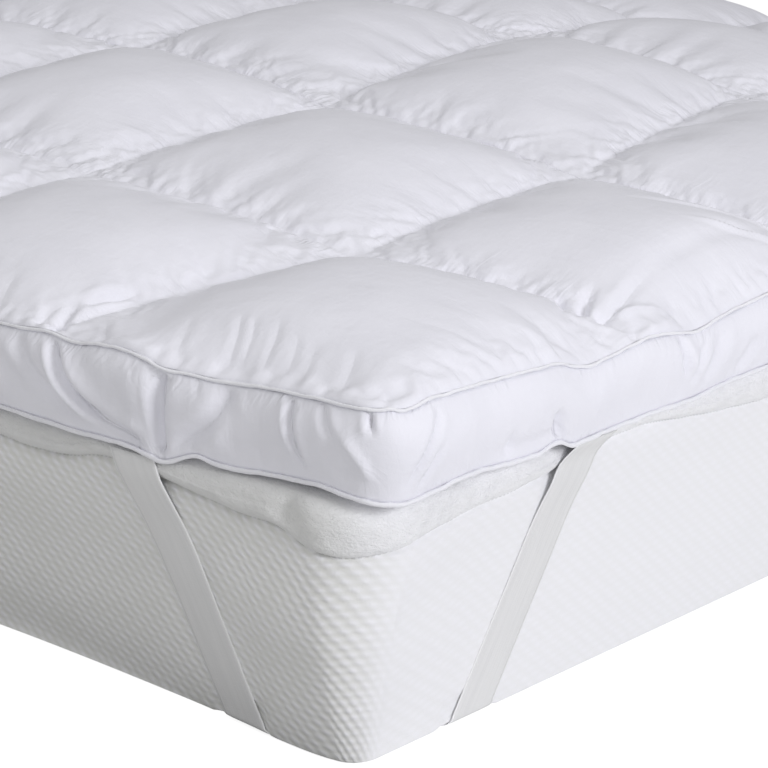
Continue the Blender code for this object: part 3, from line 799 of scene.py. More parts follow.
from_left, from_right, from_front, from_back, box_i, box_j = box_distances(
    fine_c, fine_r, fine_x, fine_y
)
box_shift = 137 * box_i + 61 * box_j
pucker_height = (
    puckers(from_left, fine_y, box_shift)
    + puckers(from_right, fine_y, box_shift + 311)
    + puckers(from_front, fine_x, box_shift + 523)
    + puckers(from_back, fine_x, box_shift + 701)
)
rim_mask = np.ones(fine_c.shape)
rim_mask[0], rim_mask[-1], rim_mask[:, 0], rim_mask[:, -1] = 0, 0, 0, 0
panel[..., 2] += pucker_height * rim_mask
print("puckers stand up to", round(float(pucker_height.max()) * 1000, 2), "mm")

# %% [markdown]
# ## The main creases
#
# Where something pulls, the cloth answers with creases that run towards it.  The strap pulls one
# point of the lower seam down, and a fan of creases runs up from it to the piping.  The loose
# ends of the two nearest channels pull their own folds together.  Each of these is a row of a
# table, with its own place, depth and width.
#
# A crease is a line through a few points of the flat cloth.  Across the line it is a trough,
# exp(-(s / width)^2), with a shoulder on each side; along the line it comes in and dies away.


# %% One crease
FOLD_REACH = 0.0050             # from its line to where a crease's sharp bottom has gone


def crease(u, v, line, depth, width, shoulders, ends, folds=None, sharp=1.0):
    """How far the cloth is pushed in at flat places (u, v) by one crease along `line`.

    If `folds` is given, the crease also writes its line there for the cotton's finish: the
    signed distance from the line, and sharp x depth, wherever it is the strongest one.

    `shoulders` are the heights of the ridges left and right of the trough, as shares of its
    depth, and `ends` the parts of the length over which it comes in and dies away.
    """
    line = np.array(line)
    pushed = np.zeros(u.shape)
    reach = 4.5 * width
    near = (u > line[:, 0].min() - reach) & (u < line[:, 0].max() + reach)
    near &= (v > line[:, 1].min() - reach) & (v < line[:, 1].max() + reach)
    if not near.any():
        return pushed
    pu, pv = u[near], v[near]
    steps = np.diff(line, axis=0)
    lengths = np.linalg.norm(steps, axis=1)
    before = np.concatenate([[0.0], np.cumsum(lengths)])
    best = np.full(pu.shape, 1e9)
    off, run = np.zeros(pu.shape), np.zeros(pu.shape)
    for start, step, length, past in zip(line, steps, lengths, before):
        way = step / length
        along = ((pu - start[0]) * way[0] + (pv - start[1]) * way[1]).clip(0, length)
        du, dv = pu - start[0] - way[0] * along, pv - start[1] - way[1] * along
        distance = np.hypot(du, dv)
        closer = distance < best
        best = np.where(closer, distance, best)
        off = np.where(closer, np.sign(way[0] * dv - way[1] * du) * distance, off)
        run = np.where(closer, past + along, run)
    part = run / before[-1]
    share = ramp(part, 0.0, ends[0]) * (1 - ramp(part, 1 - ends[1], 1.0))
    side = off / width
    shape = np.exp(-(side**2))
    shape -= shoulders[0] * np.exp(-(((side - 1.9) / 1.1) ** 2))
    shape -= shoulders[1] * np.exp(-(((side + 1.9) / 1.1) ** 2))
    pushed[near] = depth * share * shape
    if folds is not None:
        strength = sharp * depth * share * np.exp(-((off / FOLD_REACH) ** 2))
        stronger = np.abs(strength) > np.abs(folds[near][:, 1])
        folds[near] = np.where(stronger[:, None], np.stack([off, strength], axis=-1), folds[near])
    return pushed


def bowed(start, end, bow, points=9):
    """A line from start to end that bows sideways by `bow` metres, as a half sine."""
    part = np.linspace(0, 1, points)[:, None]
    start, end = np.array(start), np.array(end)
    way = (end - start) / np.linalg.norm(end - start)
    aside = np.array([-way[1], way[0]])
    return start + (end - start) * part + aside * bow * np.sin(np.pi * part)


print("a crease of 4 mm, on its line:", float(crease(
    np.array([0.1]), np.array([0.0]), [(0.0, 0.0), (0.2, 0.0)], 0.004, 0.005, (0, 0), (0.2, 0.2)
)[0]))

# %% Creases of the gusset
# from and to: (along the side, height from 0 at the lower cord to 1 at the upper one)
GUSSET_HEIGHT = 0.068
LEFT_CREASES = (
    ("top", "high", "low", "deep", "bow", "depth", "width", "left", "right", "in", "out", "sharp"),
    (0.406, 0.72, 0.329, 0.12, 0.006, 0.0040, 0.0120, 0.3, 0.2, 0.3, 0.3, 0.0),
    (0.382, 1.00, 0.304, 0.13, 0.014, 0.0042, 0.0070, 0.4, 0.3, 0.1, 0.3, 0.0),
    (0.351, 1.00, 0.264, 0.12, 0.019, -0.0036, 0.0042, 0.2, 0.2, 0.1, 0.2, 0.0),
    (0.342, 1.00, 0.238, 0.08, 0.020, 0.0062, 0.0050, 0.2, 0.4, 0.1, 0.1, 0.9),
    (0.314, 0.95, 0.276, 0.55, 0.004, 0.0016, 0.0080, 0.3, 0.3, 0.2, 0.5, 0.0),
    (0.276, 0.70, 0.254, 0.25, 0.002, 0.0018, 0.0120, 0.2, 0.2, 0.4, 0.4, 0.0),
    (0.251, 1.00, 0.247, 0.78, 0.000, 0.0016, 0.0028, 0.4, 0.4, 0.1, 0.6, 0.0),
    (0.235, 1.00, 0.228, 0.02, 0.002, -0.0016, 0.0030, 0.0, 0.0, 0.1, 0.1, 0.0),
    (0.221, 1.00, 0.225, 0.00, 0.000, 0.0050, 0.0120, 0.2, 0.0, 0.1, 0.1, 0.0),
    (0.219, 1.00, 0.225, 0.00, 0.001, 0.0075, 0.0048, 0.1, 0.1, 0.1, 0.1, 0.6),
    (0.227, 1.00, 0.233, 0.80, 0.000, 0.0018, 0.0022, 0.3, 0.3, 0.1, 0.6, 0.6),
    (0.216, 1.00, 0.222, 0.72, 0.001, 0.0020, 0.0024, 0.5, 0.5, 0.1, 0.6, 0.5),
    (0.208, 1.00, 0.218, 0.62, 0.001, 0.0020, 0.0024, 0.5, 0.5, 0.1, 0.6, 0.5),
    (0.186, 1.00, 0.184, 0.72, 0.000, 0.0018, 0.0026, 0.5, 0.2, 0.1, 0.5, 0.4),
    (0.153, 1.00, 0.214, 0.08, -0.010, 0.0060, 0.0070, 0.2, 0.2, 0.1, 0.2, 0.4),
    (0.146, 0.85, 0.156, 0.15, 0.003, 0.0020, 0.0070, 0.3, 0.2, 0.3, 0.3, 0.0),
    (0.190, 0.25, 0.192, 0.02, 0.000, 0.0018, 0.0040, 0.5, 0.3, 0.4, 0.1, 0.3),
    (0.126, 0.30, 0.126, 0.02, 0.000, 0.0012, 0.0035, 0.4, 0.4, 0.4, 0.1, 0.0),
    (0.102, 1.00, 0.085, 0.22, 0.003, -0.0034, 0.0030, 0.0, 0.0, 0.1, 0.2, 0.0),
    (0.095, 1.00, 0.081, 0.10, 0.003, 0.0042, 0.0036, 0.1, 0.3, 0.1, 0.2, 0.9),
    (0.064, 1.00, 0.046, 0.58, 0.003, 0.0032, 0.0040, 0.2, 0.5, 0.1, 0.4, 0.6),
    (0.045, 0.72, 0.016, 0.18, -0.004, -0.0034, 0.0038, 0.0, 0.0, 0.3, 0.3, 0.0),
    (0.062, 0.60, 0.032, 0.12, -0.003, 0.0026, 0.0080, 0.2, 0.3, 0.3, 0.3, 0.0),
    (0.020, 1.00, 0.015, 0.72, 0.000, 0.0052, 0.0032, 0.5, 0.4, 0.1, 0.5, 1.0),
)
FRONT_CREASES = (
    ("top", "high", "low", "deep", "bow", "depth", "width", "left", "right", "in", "out", "sharp"),
    (0.056, 1.00, 0.014, 0.10, 0.003, 0.0030, 0.0036, 0.4, 0.4, 0.2, 0.3, 0.6),
    (0.053, 0.55, 0.028, 0.08, 0.002, 0.0024, 0.0034, 0.4, 0.3, 0.3, 0.3, 0.5),
    (0.139, 0.42, 0.143, 0.06, 0.000, 0.0026, 0.0060, 0.3, 0.3, 0.4, 0.2, 0.3),
    (0.110, 0.16, 0.205, 0.14, 0.000, 0.0030, 0.0075, 0.0, 0.0, 0.3, 0.2, 0.0),
    (0.194, 0.48, 0.204, 0.03, 0.000, 0.0060, 0.0058, 0.2, 0.3, 0.4, 0.1, 1.0),
    (0.360, 1.00, 0.368, 0.25, 0.000, 0.0046, 0.0050, 0.5, 0.2, 0.1, 0.5, 0.8),
    (0.390, 0.85, 0.372, 0.20, 0.002, 0.0026, 0.0050, 0.2, 0.3, 0.2, 0.3, 0.3),
    (0.421, 0.90, 0.389, 0.12, 0.004, 0.0036, 0.0090, 0.2, 0.3, 0.2, 0.3, 0.0),
    (0.469, 0.60, 0.441, 0.06, 0.003, 0.0034, 0.0080, 0.3, 0.2, 0.3, 0.3, 0.0),
)
CREASE_SHARE = 1.15
HIDDEN_CREASES = 14             # further ones on each side, out of the photograph's sight


def hidden_creases(side, length, shown_to):
    """Seeded rows like the ones above for the rest of a side; they lean towards the straps."""
    rng = np.random.default_rng({"left": 31, "right": 32, "front": 33, "back": 34}[side])
    found = []
    for top in rng.uniform(shown_to + 0.03, length - 0.02, HIDDEN_CREASES):
        pull = length - 0.23 if top > length / 2 else 0.23
        lean = (pull - top) * rng.uniform(0.1, 0.6) * math.exp(-abs(top - pull) / 0.15)
        row = {"top": top, "high": 1.0, "low": top + lean, "deep": rng.uniform(0.05, 0.5)}
        row.update(bow=rng.uniform(-0.008, 0.008), depth=rng.uniform(0.0016, 0.0046))
        row.update(width=rng.uniform(0.0035, 0.0085), left=rng.uniform(0.1, 0.5))
        row.update({"right": rng.uniform(0.1, 0.5), "in": 0.1, "out": 0.3, "sharp": 0.5})
        found.append(row)
    return found


SIDE_POINTS = {
    "left": (fine_rim["x"] < BED_WIDTH / 2, fine_rim["y"] - fine_rim["x"], BED_LENGTH, 0.50),
    "right": (fine_rim["x"] > BED_WIDTH - SIDE_CHANGE, fine_rim["y"], BED_LENGTH, 0.0),
    "front": (fine_rim["y"] < BED_LENGTH / 2, fine_rim["x"] - fine_rim["y"], BED_WIDTH, 0.56),
    "back": (fine_rim["y"] > BED_LENGTH - SIDE_CHANGE, fine_rim["x"], BED_WIDTH, 0.0),
}
height_part = 1 - np.linspace(0, 1, gusset.shape[0])
pushed_in = np.zeros(gusset.shape[:2])
gusset_folds = np.zeros(gusset.shape[:2] + (2,))
for side, (there, along, length, shown_to) in SIDE_POINTS.items():
    table = rows({"left": LEFT_CREASES, "front": FRONT_CREASES}.get(side, LEFT_CREASES[:1]))
    table += hidden_creases(side, length, shown_to)
    u = np.broadcast_to(along[there][None, :], (len(height_part), int(there.sum())))
    v = np.broadcast_to(height_part[:, None] * GUSSET_HEIGHT, u.shape)
    for row in table:
        line = bowed(
            (row["top"], row["high"] * GUSSET_HEIGHT), (row["low"], row["deep"] * GUSSET_HEIGHT),
            row["bow"],
        )
        shoulders, ends = (row["left"], row["right"]), (row["in"], row["out"])
        folds = gusset_folds[:, there]
        pushed_in[:, there] += CREASE_SHARE * crease(
            u, v, line, row["depth"], row["width"], shoulders, ends, folds, row["sharp"]
        )
        gusset_folds[:, there] = folds
pushed_in *= (4 * height_part * (1 - height_part)).clip(0, 1)[:, None] ** 0.35
gusset[..., :2] -= pushed_in[..., None] * fine_rim["outward"][None, :, :]
print("deepest crease of the gusset:", round(float(pushed_in.max()) * 1000, 1), "mm")

# %% Creases of the panel
BROAD_CREASE = 0.008            # from this width on a crease has no sharp bottom
PANEL_SHARP = 0.5
PANEL_CREASES = (
    ("line", "depth", "width", "left", "right", "in", "out"),
    (((0.289, 0.033), (0.322, 0.037), (0.360, 0.045), (0.400, 0.052)),
     0.0036, 0.0050, 0.5, 0.2, 0.1, 0.6),
    (((0.340, 0.041), (0.410, 0.054), (0.480, 0.058), (0.553, 0.055), (0.633, 0.047)),
     0.0026, 0.0100, 0.0, 0.0, 0.3, 0.3),
    (((0.285, 0.043), (0.311, 0.059), (0.338, 0.069)), 0.0034, 0.0042, 0.5, 0.5, 0.3, 0.4),
    (((0.280, 0.053), (0.298, 0.075), (0.315, 0.093)), 0.0026, 0.0042, 0.5, 0.4, 0.3, 0.5),
    (((0.311, 0.033), (0.338, 0.027), (0.365, 0.017)), -0.0024, 0.0040, 0.3, 0.3, 0.3, 0.3),
    (((0.498, 0.153), (0.553, 0.088), (0.603, 0.033)), -0.0022, 0.0032, 0.4, 0.4, 0.4, 0.3),
    (((0.481, 0.091), (0.523, 0.053), (0.573, 0.017)), -0.0030, 0.0034, 0.5, 0.4, 0.4, 0.2),
    (((0.483, 0.173), (0.538, 0.111), (0.593, 0.053)), -0.0016, 0.0032, 0.5, 0.5, 0.4, 0.4),
    (((0.045, 0.357), (0.068, 0.347), (0.098, 0.335)), 0.0055, 0.0050, 0.3, 0.3, 0.2, 0.5),
    (((0.048, 0.359), (0.033, 0.356), (-0.001, 0.343)), 0.0036, 0.0048, 0.5, 0.4, 0.3, 0.2),
    (((0.045, 0.363), (0.027, 0.369), (-0.003, 0.365)), 0.0015, 0.0048, 0.4, 0.5, 0.3, 0.2),
    (((0.038, 0.313), (0.017, 0.299), (-0.003, 0.285)), 0.0012, 0.0040, 0.4, 0.4, 0.4, 0.2),
    (((0.060, 0.238), (0.030, 0.224), (0.002, 0.214)), 0.0008, 0.0040, 0.4, 0.4, 0.4, 0.2),
    (((0.062, 0.196), (0.036, 0.180), (0.006, 0.168)), 0.0015, 0.0034, 0.4, 0.4, 0.3, 0.2),
    (((0.058, 0.181), (0.034, 0.166), (0.010, 0.157)), 0.0013, 0.0030, 0.3, 0.4, 0.3, 0.3),
    (((0.064, 0.161), (0.036, 0.145), (0.004, 0.135)), 0.0014, 0.0034, 0.4, 0.4, 0.4, 0.2),
    (((0.052, 0.134), (0.030, 0.121), (0.012, 0.114)), 0.0009, 0.0032, 0.4, 0.4, 0.4, 0.3),
    (((0.048, 0.112), (0.024, 0.101), (0.003, 0.095)), 0.0008, 0.0036, 0.4, 0.4, 0.4, 0.2),
    (((0.058, 0.082), (0.034, 0.066), (0.006, 0.055)), 0.0010, 0.0042, 0.4, 0.4, 0.4, 0.2),
    (((0.053, 0.433), (0.023, 0.423), (-0.003, 0.411)), 0.0011, 0.0055, 0.4, 0.4, 0.4, 0.1),
    (((0.063, 0.468), (0.029, 0.453), (-0.003, 0.443)), 0.0010, 0.0050, 0.4, 0.4, 0.4, 0.1),
    (((0.113, 0.083), (0.128, 0.049), (0.139, 0.019)), 0.0007, 0.0060, 0.4, 0.4, 0.4, 0.1),
    (((0.159, 0.093), (0.173, 0.053), (0.181, 0.019)), 0.0006, 0.0055, 0.4, 0.4, 0.4, 0.1),
)
panel_pushed = np.zeros(fine_x.shape)
panel_folds = np.zeros(fine_x.shape + (2,))
for row in rows(PANEL_CREASES):
    shoulders, ends = (row["left"], row["right"]), (row["in"], row["out"])
    folds = panel_folds if row["width"] < BROAD_CREASE else None
    panel_pushed += crease(
        fine_x, fine_y, row["line"], row["depth"], row["width"], shoulders, ends, folds, PANEL_SHARP
    )
panel[..., 2] -= panel_pushed * rim_mask
print("deepest crease of the panel:", round(float(panel_pushed.max()) * 1000, 1), "mm")

# %% [markdown]
# ## Finishes
#
# Each finish is procedural and reads cloth_place, the position on the flat cloth in metres, so
# that a weave or a rib follows its piece round every fold.


# %% Node helpers
class Finish:
    """A material under construction: short words for adding and joining nodes."""

    def __init__(self, name, roughness, specular=0.3, sheen=0.0):
        self.material = bpy.data.materials.new(name)
        self.material.use_nodes = True
        self.tree = self.material.node_tree
        self.shader = self.tree.nodes["Principled BSDF"]
        self.shader.inputs["Roughness"].default_value = roughness
        self.shader.inputs["Specular IOR Level"].default_value = specular
        self.shader.inputs["Sheen Weight"].default_value = sheen
        self.shader.inputs["Sheen Roughness"].default_value = 0.5

    def node(self, kind, inputs=None, **settings):
        """One node; `inputs` maps socket names or numbers to a value or to another socket."""
        made = self.tree.nodes.new(kind)
        for key, value in settings.items():
            setattr(made, key, value)
        for key, value in (inputs or {}).items():
            if isinstance(value, bpy.types.NodeSocket):
                self.tree.links.new(value, made.inputs[key])
            else:
                made.inputs[key].default_value = value
        return made

    def math(self, operation, first, second=0.0):
        """A Math node's result."""
        node = self.node("ShaderNodeMath", {0: first, 1: second}, operation=operation)
        return node.outputs[0]

    def attribute(self, name):
        """The outputs of an attribute node: Vector, Fac and Alpha are the ones in use."""
        return self.node("ShaderNodeAttribute", attribute_name=name).outputs

    def place(self):
        """The cloth_place attribute's vector."""
        return self.attribute("cloth_place")["Vector"]

    def parts(self, vector):
        """The three parts of a vector."""
        return self.node("ShaderNodeSeparateXYZ", {0: vector}).outputs

    def stretched(self, vector, x, y, z):
        """A vector scaled differently along its three axes."""
        node = self.node("ShaderNodeMapping", {"Vector": vector, "Scale": (x, y, z)})
        return node.outputs["Vector"]

    def noise(self, vector, scale, detail=3.0, distortion=0.0):
        """A noise texture's value, from 0 to 1."""
        sockets = {"Vector": vector, "Scale": scale, "Detail": detail, "Distortion": distortion}
        return self.node("ShaderNodeTexNoise", sockets).outputs[0]

    def two_colours(self, factor, dark, light, start=0.3, end=0.7):
        """A colour ramp from dark to light between two factors."""
        ramp_node = self.node("ShaderNodeValToRGB", {0: factor})
        ends = ramp_node.color_ramp.elements
        ends[0].position, ends[1].position = start, end
        ends[0].color, ends[1].color = (*dark, 1.0), (*light, 1.0)
        return ramp_node.outputs[0]

    def mixed(self, factor, colour, other):
        """A colour drawn towards another one by a factor from 0 to 1."""
        sockets = {0: factor, 6: colour, 7: (*other, 1.0)}
        return self.node("ShaderNodeMix", sockets, data_type="RGBA").outputs[2]

    def bump(self, height, distance, under=None):
        """A bump node's normal, on top of another one if given."""
        sockets = {"Height": height, "Distance": distance, "Strength": 1.0}
        if under is not None:
            sockets["Normal"] = under
        return self.node("ShaderNodeBump", sockets).outputs["Normal"]

    def paint(self, colour, normal):
        """Join the colour and the normal to the shader."""
        self.tree.links.new(colour, self.shader.inputs["Base Color"])
        self.tree.links.new(normal, self.shader.inputs["Normal"])
        return self.material


print("a finish starts with", len(Finish("trial", 0.5).tree.nodes), "nodes")
bpy.data.materials.remove(bpy.data.materials["trial"])


# %% [markdown]
# The cotton is a plain weave so close that feathers can't come through.  From a step away its
# threads don't show, only the fine dry creases that it takes from being packed, and a slightly
# cool white.  The creases are noise that is stretched along one direction of the cloth.

# %% Cotton
STREAK_PITCH = 0.0052
STREAK_REACH = 0.022
FOLD_WIDTH = 0.0013
FOLD_SHARE = 0.24               # how deep a crease's sharp bottom is, as a share of the crease


def seam_streaks(finish, place):
    """Height of the finest puckers: noise along each channel, fading with the distance from it.

    The noise is read at (along + lean x distance) / pitch, so a streak stands nearly square to
    its channel, and the lean itself is slow noise.
    """
    at = finish.parts(place)
    kept = finish.attribute("seam_distances")
    sides = finish.parts(kept["Vector"])
    total = None
    for seed, distance in enumerate((sides[0], sides[1], sides[2], kept["Alpha"])):
        along = at[1] if seed < 2 else at[0]
        slow = finish.node("ShaderNodeCombineXYZ", {0: along, 1: distance, 2: 0.7 * seed + 0.3})
        slow_noise = finish.noise(slow.outputs[0], 14.0, 1.0)
        lean = finish.math("MULTIPLY", finish.math("SUBTRACT", slow_noise, 0.5), 1.4)
        read_at = finish.math("ADD", along, finish.math("MULTIPLY", lean, distance))
        fine = finish.node(
            "ShaderNodeCombineXYZ",
            {0: finish.math("MULTIPLY", read_at, 1 / STREAK_PITCH),
             1: finish.math("MULTIPLY", distance, 16.0), 2: 3.1 * seed},
        )
        height = finish.math("SUBTRACT", finish.noise(fine.outputs[0], 1.0, 1.5), 0.5)
        fade = finish.math("EXPONENT", finish.math("MULTIPLY", distance, -1 / STREAK_REACH))
        rise = finish.math("SUBTRACT", 1.0, finish.math(
            "EXPONENT", finish.math("MULTIPLY", distance, -1 / 0.003)))
        patches = finish.node(
            "ShaderNodeMapRange", {0: slow_noise, 1: 0.42, 2: 0.70, 3: 0.05, 4: 0.75}
        ).outputs[0]
        strength = finish.math("MULTIPLY", finish.math("MULTIPLY", fade, rise), patches)
        height = finish.math("MULTIPLY", height, strength)
        total = height if total is None else finish.math("ADD", total, height)
    return total


def sharp_folds(finish):
    """Height of the creases' sharp bottoms: -depth exp(-(distance / 1.3 mm)^2)."""
    distance, depth, _ = finish.parts(finish.attribute("fold_line")["Vector"])
    side = finish.math("MULTIPLY", distance, 1 / FOLD_WIDTH)
    squared = finish.math("MULTIPLY", side, side)
    valley = finish.math("EXPONENT", finish.math("MULTIPLY", squared, -1.0))
    return finish.math("MULTIPLY", finish.math("MULTIPLY", valley, depth), -1.0)


def cotton():
    """White cotton of the panel and gusset."""
    finish = Finish("down_proof_cotton", 0.62, specular=0.25, sheen=0.08)
    place = finish.place()
    tone = finish.noise(place, 18.0, 5.0, 0.3)
    colour = finish.two_colours(tone, (0.845, 0.842, 0.900), (0.885, 0.882, 0.94))
    soft = finish.noise(finish.stretched(place, 1.0, 0.35, 1.0), 75.0, 4.0, 0.6)
    fine = finish.noise(finish.stretched(place, 0.4, 1.0, 1.0), 190.0, 3.0, 0.3)
    weave = finish.noise(place, 900.0, 1.0)
    normal = finish.bump(seam_streaks(finish, place), 0.008)
    normal = finish.bump(sharp_folds(finish), FOLD_SHARE, under=normal)
    normal = finish.bump(soft, 0.0010, under=normal)
    normal = finish.bump(fine, 0.00035, under=normal)
    normal = finish.bump(weave, 0.00010, under=normal)
    return finish.paint(colour, normal)


def piping_cotton():
    """The same cotton drawn tightly round a cord: small creases slant round it."""
    finish = Finish("piping_cotton", 0.6, specular=0.25, sheen=0.08)
    place = finish.place()
    tone = finish.noise(place, 25.0, 2.0)
    colour = finish.two_colours(tone, (0.86, 0.86, 0.90), (0.90, 0.90, 0.935))
    creases = finish.noise(finish.stretched(place, 1.0, 0.3, 1.0), 320.0, 2.0, 0.4)
    return finish.paint(colour, finish.bump(creases, 0.0006))


COTTON = cotton()
PIPING = piping_cotton()
print("cotton and piping finishes made")


# %% [markdown]
# The strap is flat elastic: rubber threads run its whole length under a thin knitted cover, so
# it shows fine ribs, and its two selvedges are lighter.  Its cloth_place runs along the strap in
# x and across it in y, in metres from its middle.

# %% Elastic
STRAP_WIDTH = 0.042
RIB_PITCH = 0.0030


def elastic():
    """Pale grey elastic tape."""
    finish = Finish("elastic_tape", 0.55, specular=0.35, sheen=0.0)
    place = finish.place()
    across = finish.parts(place)[1]
    from_middle = finish.math("ABSOLUTE", across)
    edge = finish.math("DIVIDE", from_middle, STRAP_WIDTH / 2)
    streaks = finish.noise(finish.stretched(place, 0.05, 1.0, 1.0), 160.0, 3.0)
    body = finish.two_colours(streaks, (0.735, 0.735, 0.735), (0.785, 0.785, 0.785))
    at_edge = finish.node("ShaderNodeMapRange", {0: edge, 1: 0.925, 2: 0.955}).outputs[0]
    colour = finish.mixed(at_edge, body, (0.93, 0.93, 0.93))
    ribs = finish.math("SINE", finish.math("MULTIPLY", across, 2 * math.pi / RIB_PITCH))
    knit = finish.noise(finish.stretched(place, 1.0, 0.5, 1.0), 900.0, 1.0)
    normal = finish.bump(ribs, 0.00004)
    normal = finish.bump(knit, 0.00012, under=normal)
    return finish.paint(colour, normal)


ELASTIC = elastic()
print("elastic finish made")

# %% [markdown]
# The mattress has a thick knitted cover with small raised pads in slanting rows.  They are the
# sum of three cosines: one in rows that fall, one in rows that rise, and one in level rows, each
# with its own weight.  The falling rows weigh most, as in the photograph.  A band of short plush
# runs under the top edge, above a stitched seam.  A point attribute is 1 on the long sides and
# low at foot and head.  It scales the pads, and also painted shade: the knit's colour is darkened
# in its grooves and over the long sides, and the plush of the long sides is darkened, as if they
# lay in shade.

# %% Knitted cover and plush band
PAD_PITCH_ALONG = 0.0138
PAD_PITCH_UP = 0.0125
PADS_AND_SHADE_AT_FOOT = 0.20             # foot and head end pull the knit flat: the pads' height there, and the share of painted groove shade left there
FALLING, RISING, LEVEL = 0.52, 0.15, 0.33       # the weights of the three sets of rows
WAVE_REACH = 0.95               # where the sum counts as the bottom of a groove, or a pad's top
SIDE_SHADE_SHARE = 0.55                # how far the plush of the long sides goes to its darker colour, a painted shade
SIDE_SHADE_POWER = 6.0                 # and how soon it does so, round the corner
STITCH_PITCH = 0.0046
STITCH_WIDTH = 0.0008
STITCH_SHADE = 0.20


def stitched(finish, place, colour):
    """Darken the colour in short dashes along the seam, where cloth_place z is 0."""
    along, _, above = finish.parts(place)
    on_line = finish.math("LESS_THAN", finish.math("ABSOLUTE", above), STITCH_WIDTH)
    wave = finish.math("SINE", finish.math("MULTIPLY", along, 2 * math.pi / STITCH_PITCH))
    dash = finish.math("MULTIPLY", on_line, finish.math("GREATER_THAN", wave, -0.2))
    return finish.mixed(finish.math("MULTIPLY", dash, STITCH_SHADE), colour, (0.30, 0.30, 0.29))


def knitted_ticking():
    """Off-white knit with small raised pads in slanting rows."""
    finish = Finish("knitted_ticking", 0.85, specular=0.15, sheen=0.10)
    place = finish.place()
    wobble = finish.node("ShaderNodeTexNoise", {"Vector": place, "Scale": 70.0, "Detail": 2.0})
    shift = finish.node(
        "ShaderNodeVectorMath",
        {0: wobble.outputs["Color"], 1: (0.0022, 0.0018, 0.0)},
        operation="MULTIPLY",
    ).outputs[0]
    moved = finish.node("ShaderNodeVectorMath", {0: place, 1: shift}, operation="ADD").outputs[0]
    at = finish.parts(moved)
    along = finish.math("MULTIPLY", at[0], 2 * math.pi / PAD_PITCH_ALONG)
    up = finish.math("MULTIPLY", at[1], 2 * math.pi / PAD_PITCH_UP)
    waves = [
        finish.math("MULTIPLY", finish.math("COSINE", phase), weight)
        for phase, weight in (
            (finish.math("ADD", along, up), FALLING),
            (finish.math("SUBTRACT", along, up), RISING),
            (finish.math("MULTIPLY", up, 2.0), LEVEL),
        )
    ]
    wave = finish.math("ADD", waves[0], finish.math("ADD", waves[1], waves[2]))
    size = finish.math("ADD", finish.noise(place, 30.0, 2.0), 0.4)
    pads = finish.node("ShaderNodeMapRange", {0: wave, 1: -WAVE_REACH, 2: WAVE_REACH}).outputs[0]
    pads = finish.math("MULTIPLY", pads, size)
    # painted shade: the dark groove colour is shadow painted into the knit's grooves, full on the
    # long sides, where the left side lies in shade, and weak at foot and head, which face the light
    share = finish.attribute("pad_and_shade_share")["Fac"]
    groove = finish.math("MULTIPLY", finish.math("SUBTRACT", 1.0, pads), share)
    colour = finish.two_colours(groove, (0.895, 0.895, 0.920), (0.740, 0.742, 0.705), 0.0, 1.0)
    loops = finish.noise(place, 800.0, 2.0)
    normal = finish.bump(finish.math("MULTIPLY", groove, -1.0), 0.0012)
    normal = finish.bump(loops, 0.00030, under=normal)
    return finish.paint(stitched(finish, place, colour), normal)


def plush_band():
    """Short plush: no pads, only a fine uneven pile."""
    finish = Finish("plush_band", 0.95, specular=0.1, sheen=0.25)
    place = finish.place()
    tone = finish.noise(place, 90.0, 3.0)
    colour = finish.two_colours(tone, (0.86, 0.86, 0.875), (0.925, 0.925, 0.94))
    # painted shade: the plush of the long sides is darkened towards a warm grey, as if it lay in
    # shade
    painted_side_shade = finish.math("POWER", finish.attribute("pad_and_shade_share")["Fac"], SIDE_SHADE_POWER)
    colour = finish.mixed(finish.math("MULTIPLY", painted_side_shade, SIDE_SHADE_SHARE), colour, (0.665, 0.667, 0.64))
    pile = finish.noise(place, 520.0, 3.0, 0.4)
    tufts = finish.noise(place, 150.0, 3.0, 0.3)
    normal = finish.bump(tufts, 0.0014)
    normal = finish.bump(pile, 0.0010, under=normal)
    return finish.paint(stitched(finish, place, colour), normal)


KNIT = knitted_ticking()
PLUSH = plush_band()
print("mattress finishes made")

# %% [markdown]
# ## Closing the bag
#
# Rings go down from the panel's rim: into the notch that holds the upper cord, down the gusset,
# round the lower cord and in under the bag.  One mesh of the whole bag would be too heavy, so it
# is cut along channels into a few closed blocks, each with straight inner walls, as the boxes
# inside such a topper have.  Neighbours share every point of the channel between them.

# %% The rings under the rim
GAP = 0.0003
RIM_WIDTH = 0.060
WALL_SPREAD = 0.02              # keeps the low points of an inner wall apart within RIM_WIDTH
GUSSET_FADE = 2.2               # the gusset's fine puckers are this much shorter than the panel's
UNDERSIDE = MATTRESS_HEIGHT + GAP

rim_rings = np.concatenate([
    [ring(fine_rim, fine_rim["top"], -NOTCH["top"], LIP)],
    [ring(fine_rim, fine_rim["top"], -NOTCH["top"], -LIP)],
    gusset,
    [ring(fine_rim, fine_rim["bottom"], -NOTCH["bottom"], LIP)],
    [ring(fine_rim, fine_rim["bottom"], -NOTCH["bottom"], -LIP)],
    [ring(fine_rim, np.full(len(fine_rim["top"]), UNDERSIDE), -RIM_WIDTH, 0.0)],
])
rim_folds = np.zeros(rim_rings.shape[:2] + (2,))
rim_folds[2 : 2 + len(gusset_folds)] = gusset_folds
print("rings:", rim_rings.shape[0], "round", round(ROUND_TRIP, 3), "m")


# %% One closed block of boxes
def rim_number(i, j):
    """Where a point of the fine grid's rim comes in the walk round it."""
    wide, long = fine_c.shape[0] - 1, fine_c.shape[1] - 1
    if j == 0:
        return i
    if i == wide:
        return wide + j
    if j == long:
        return wide + long + (wide - i)
    return 2 * wide + long + (long - j)


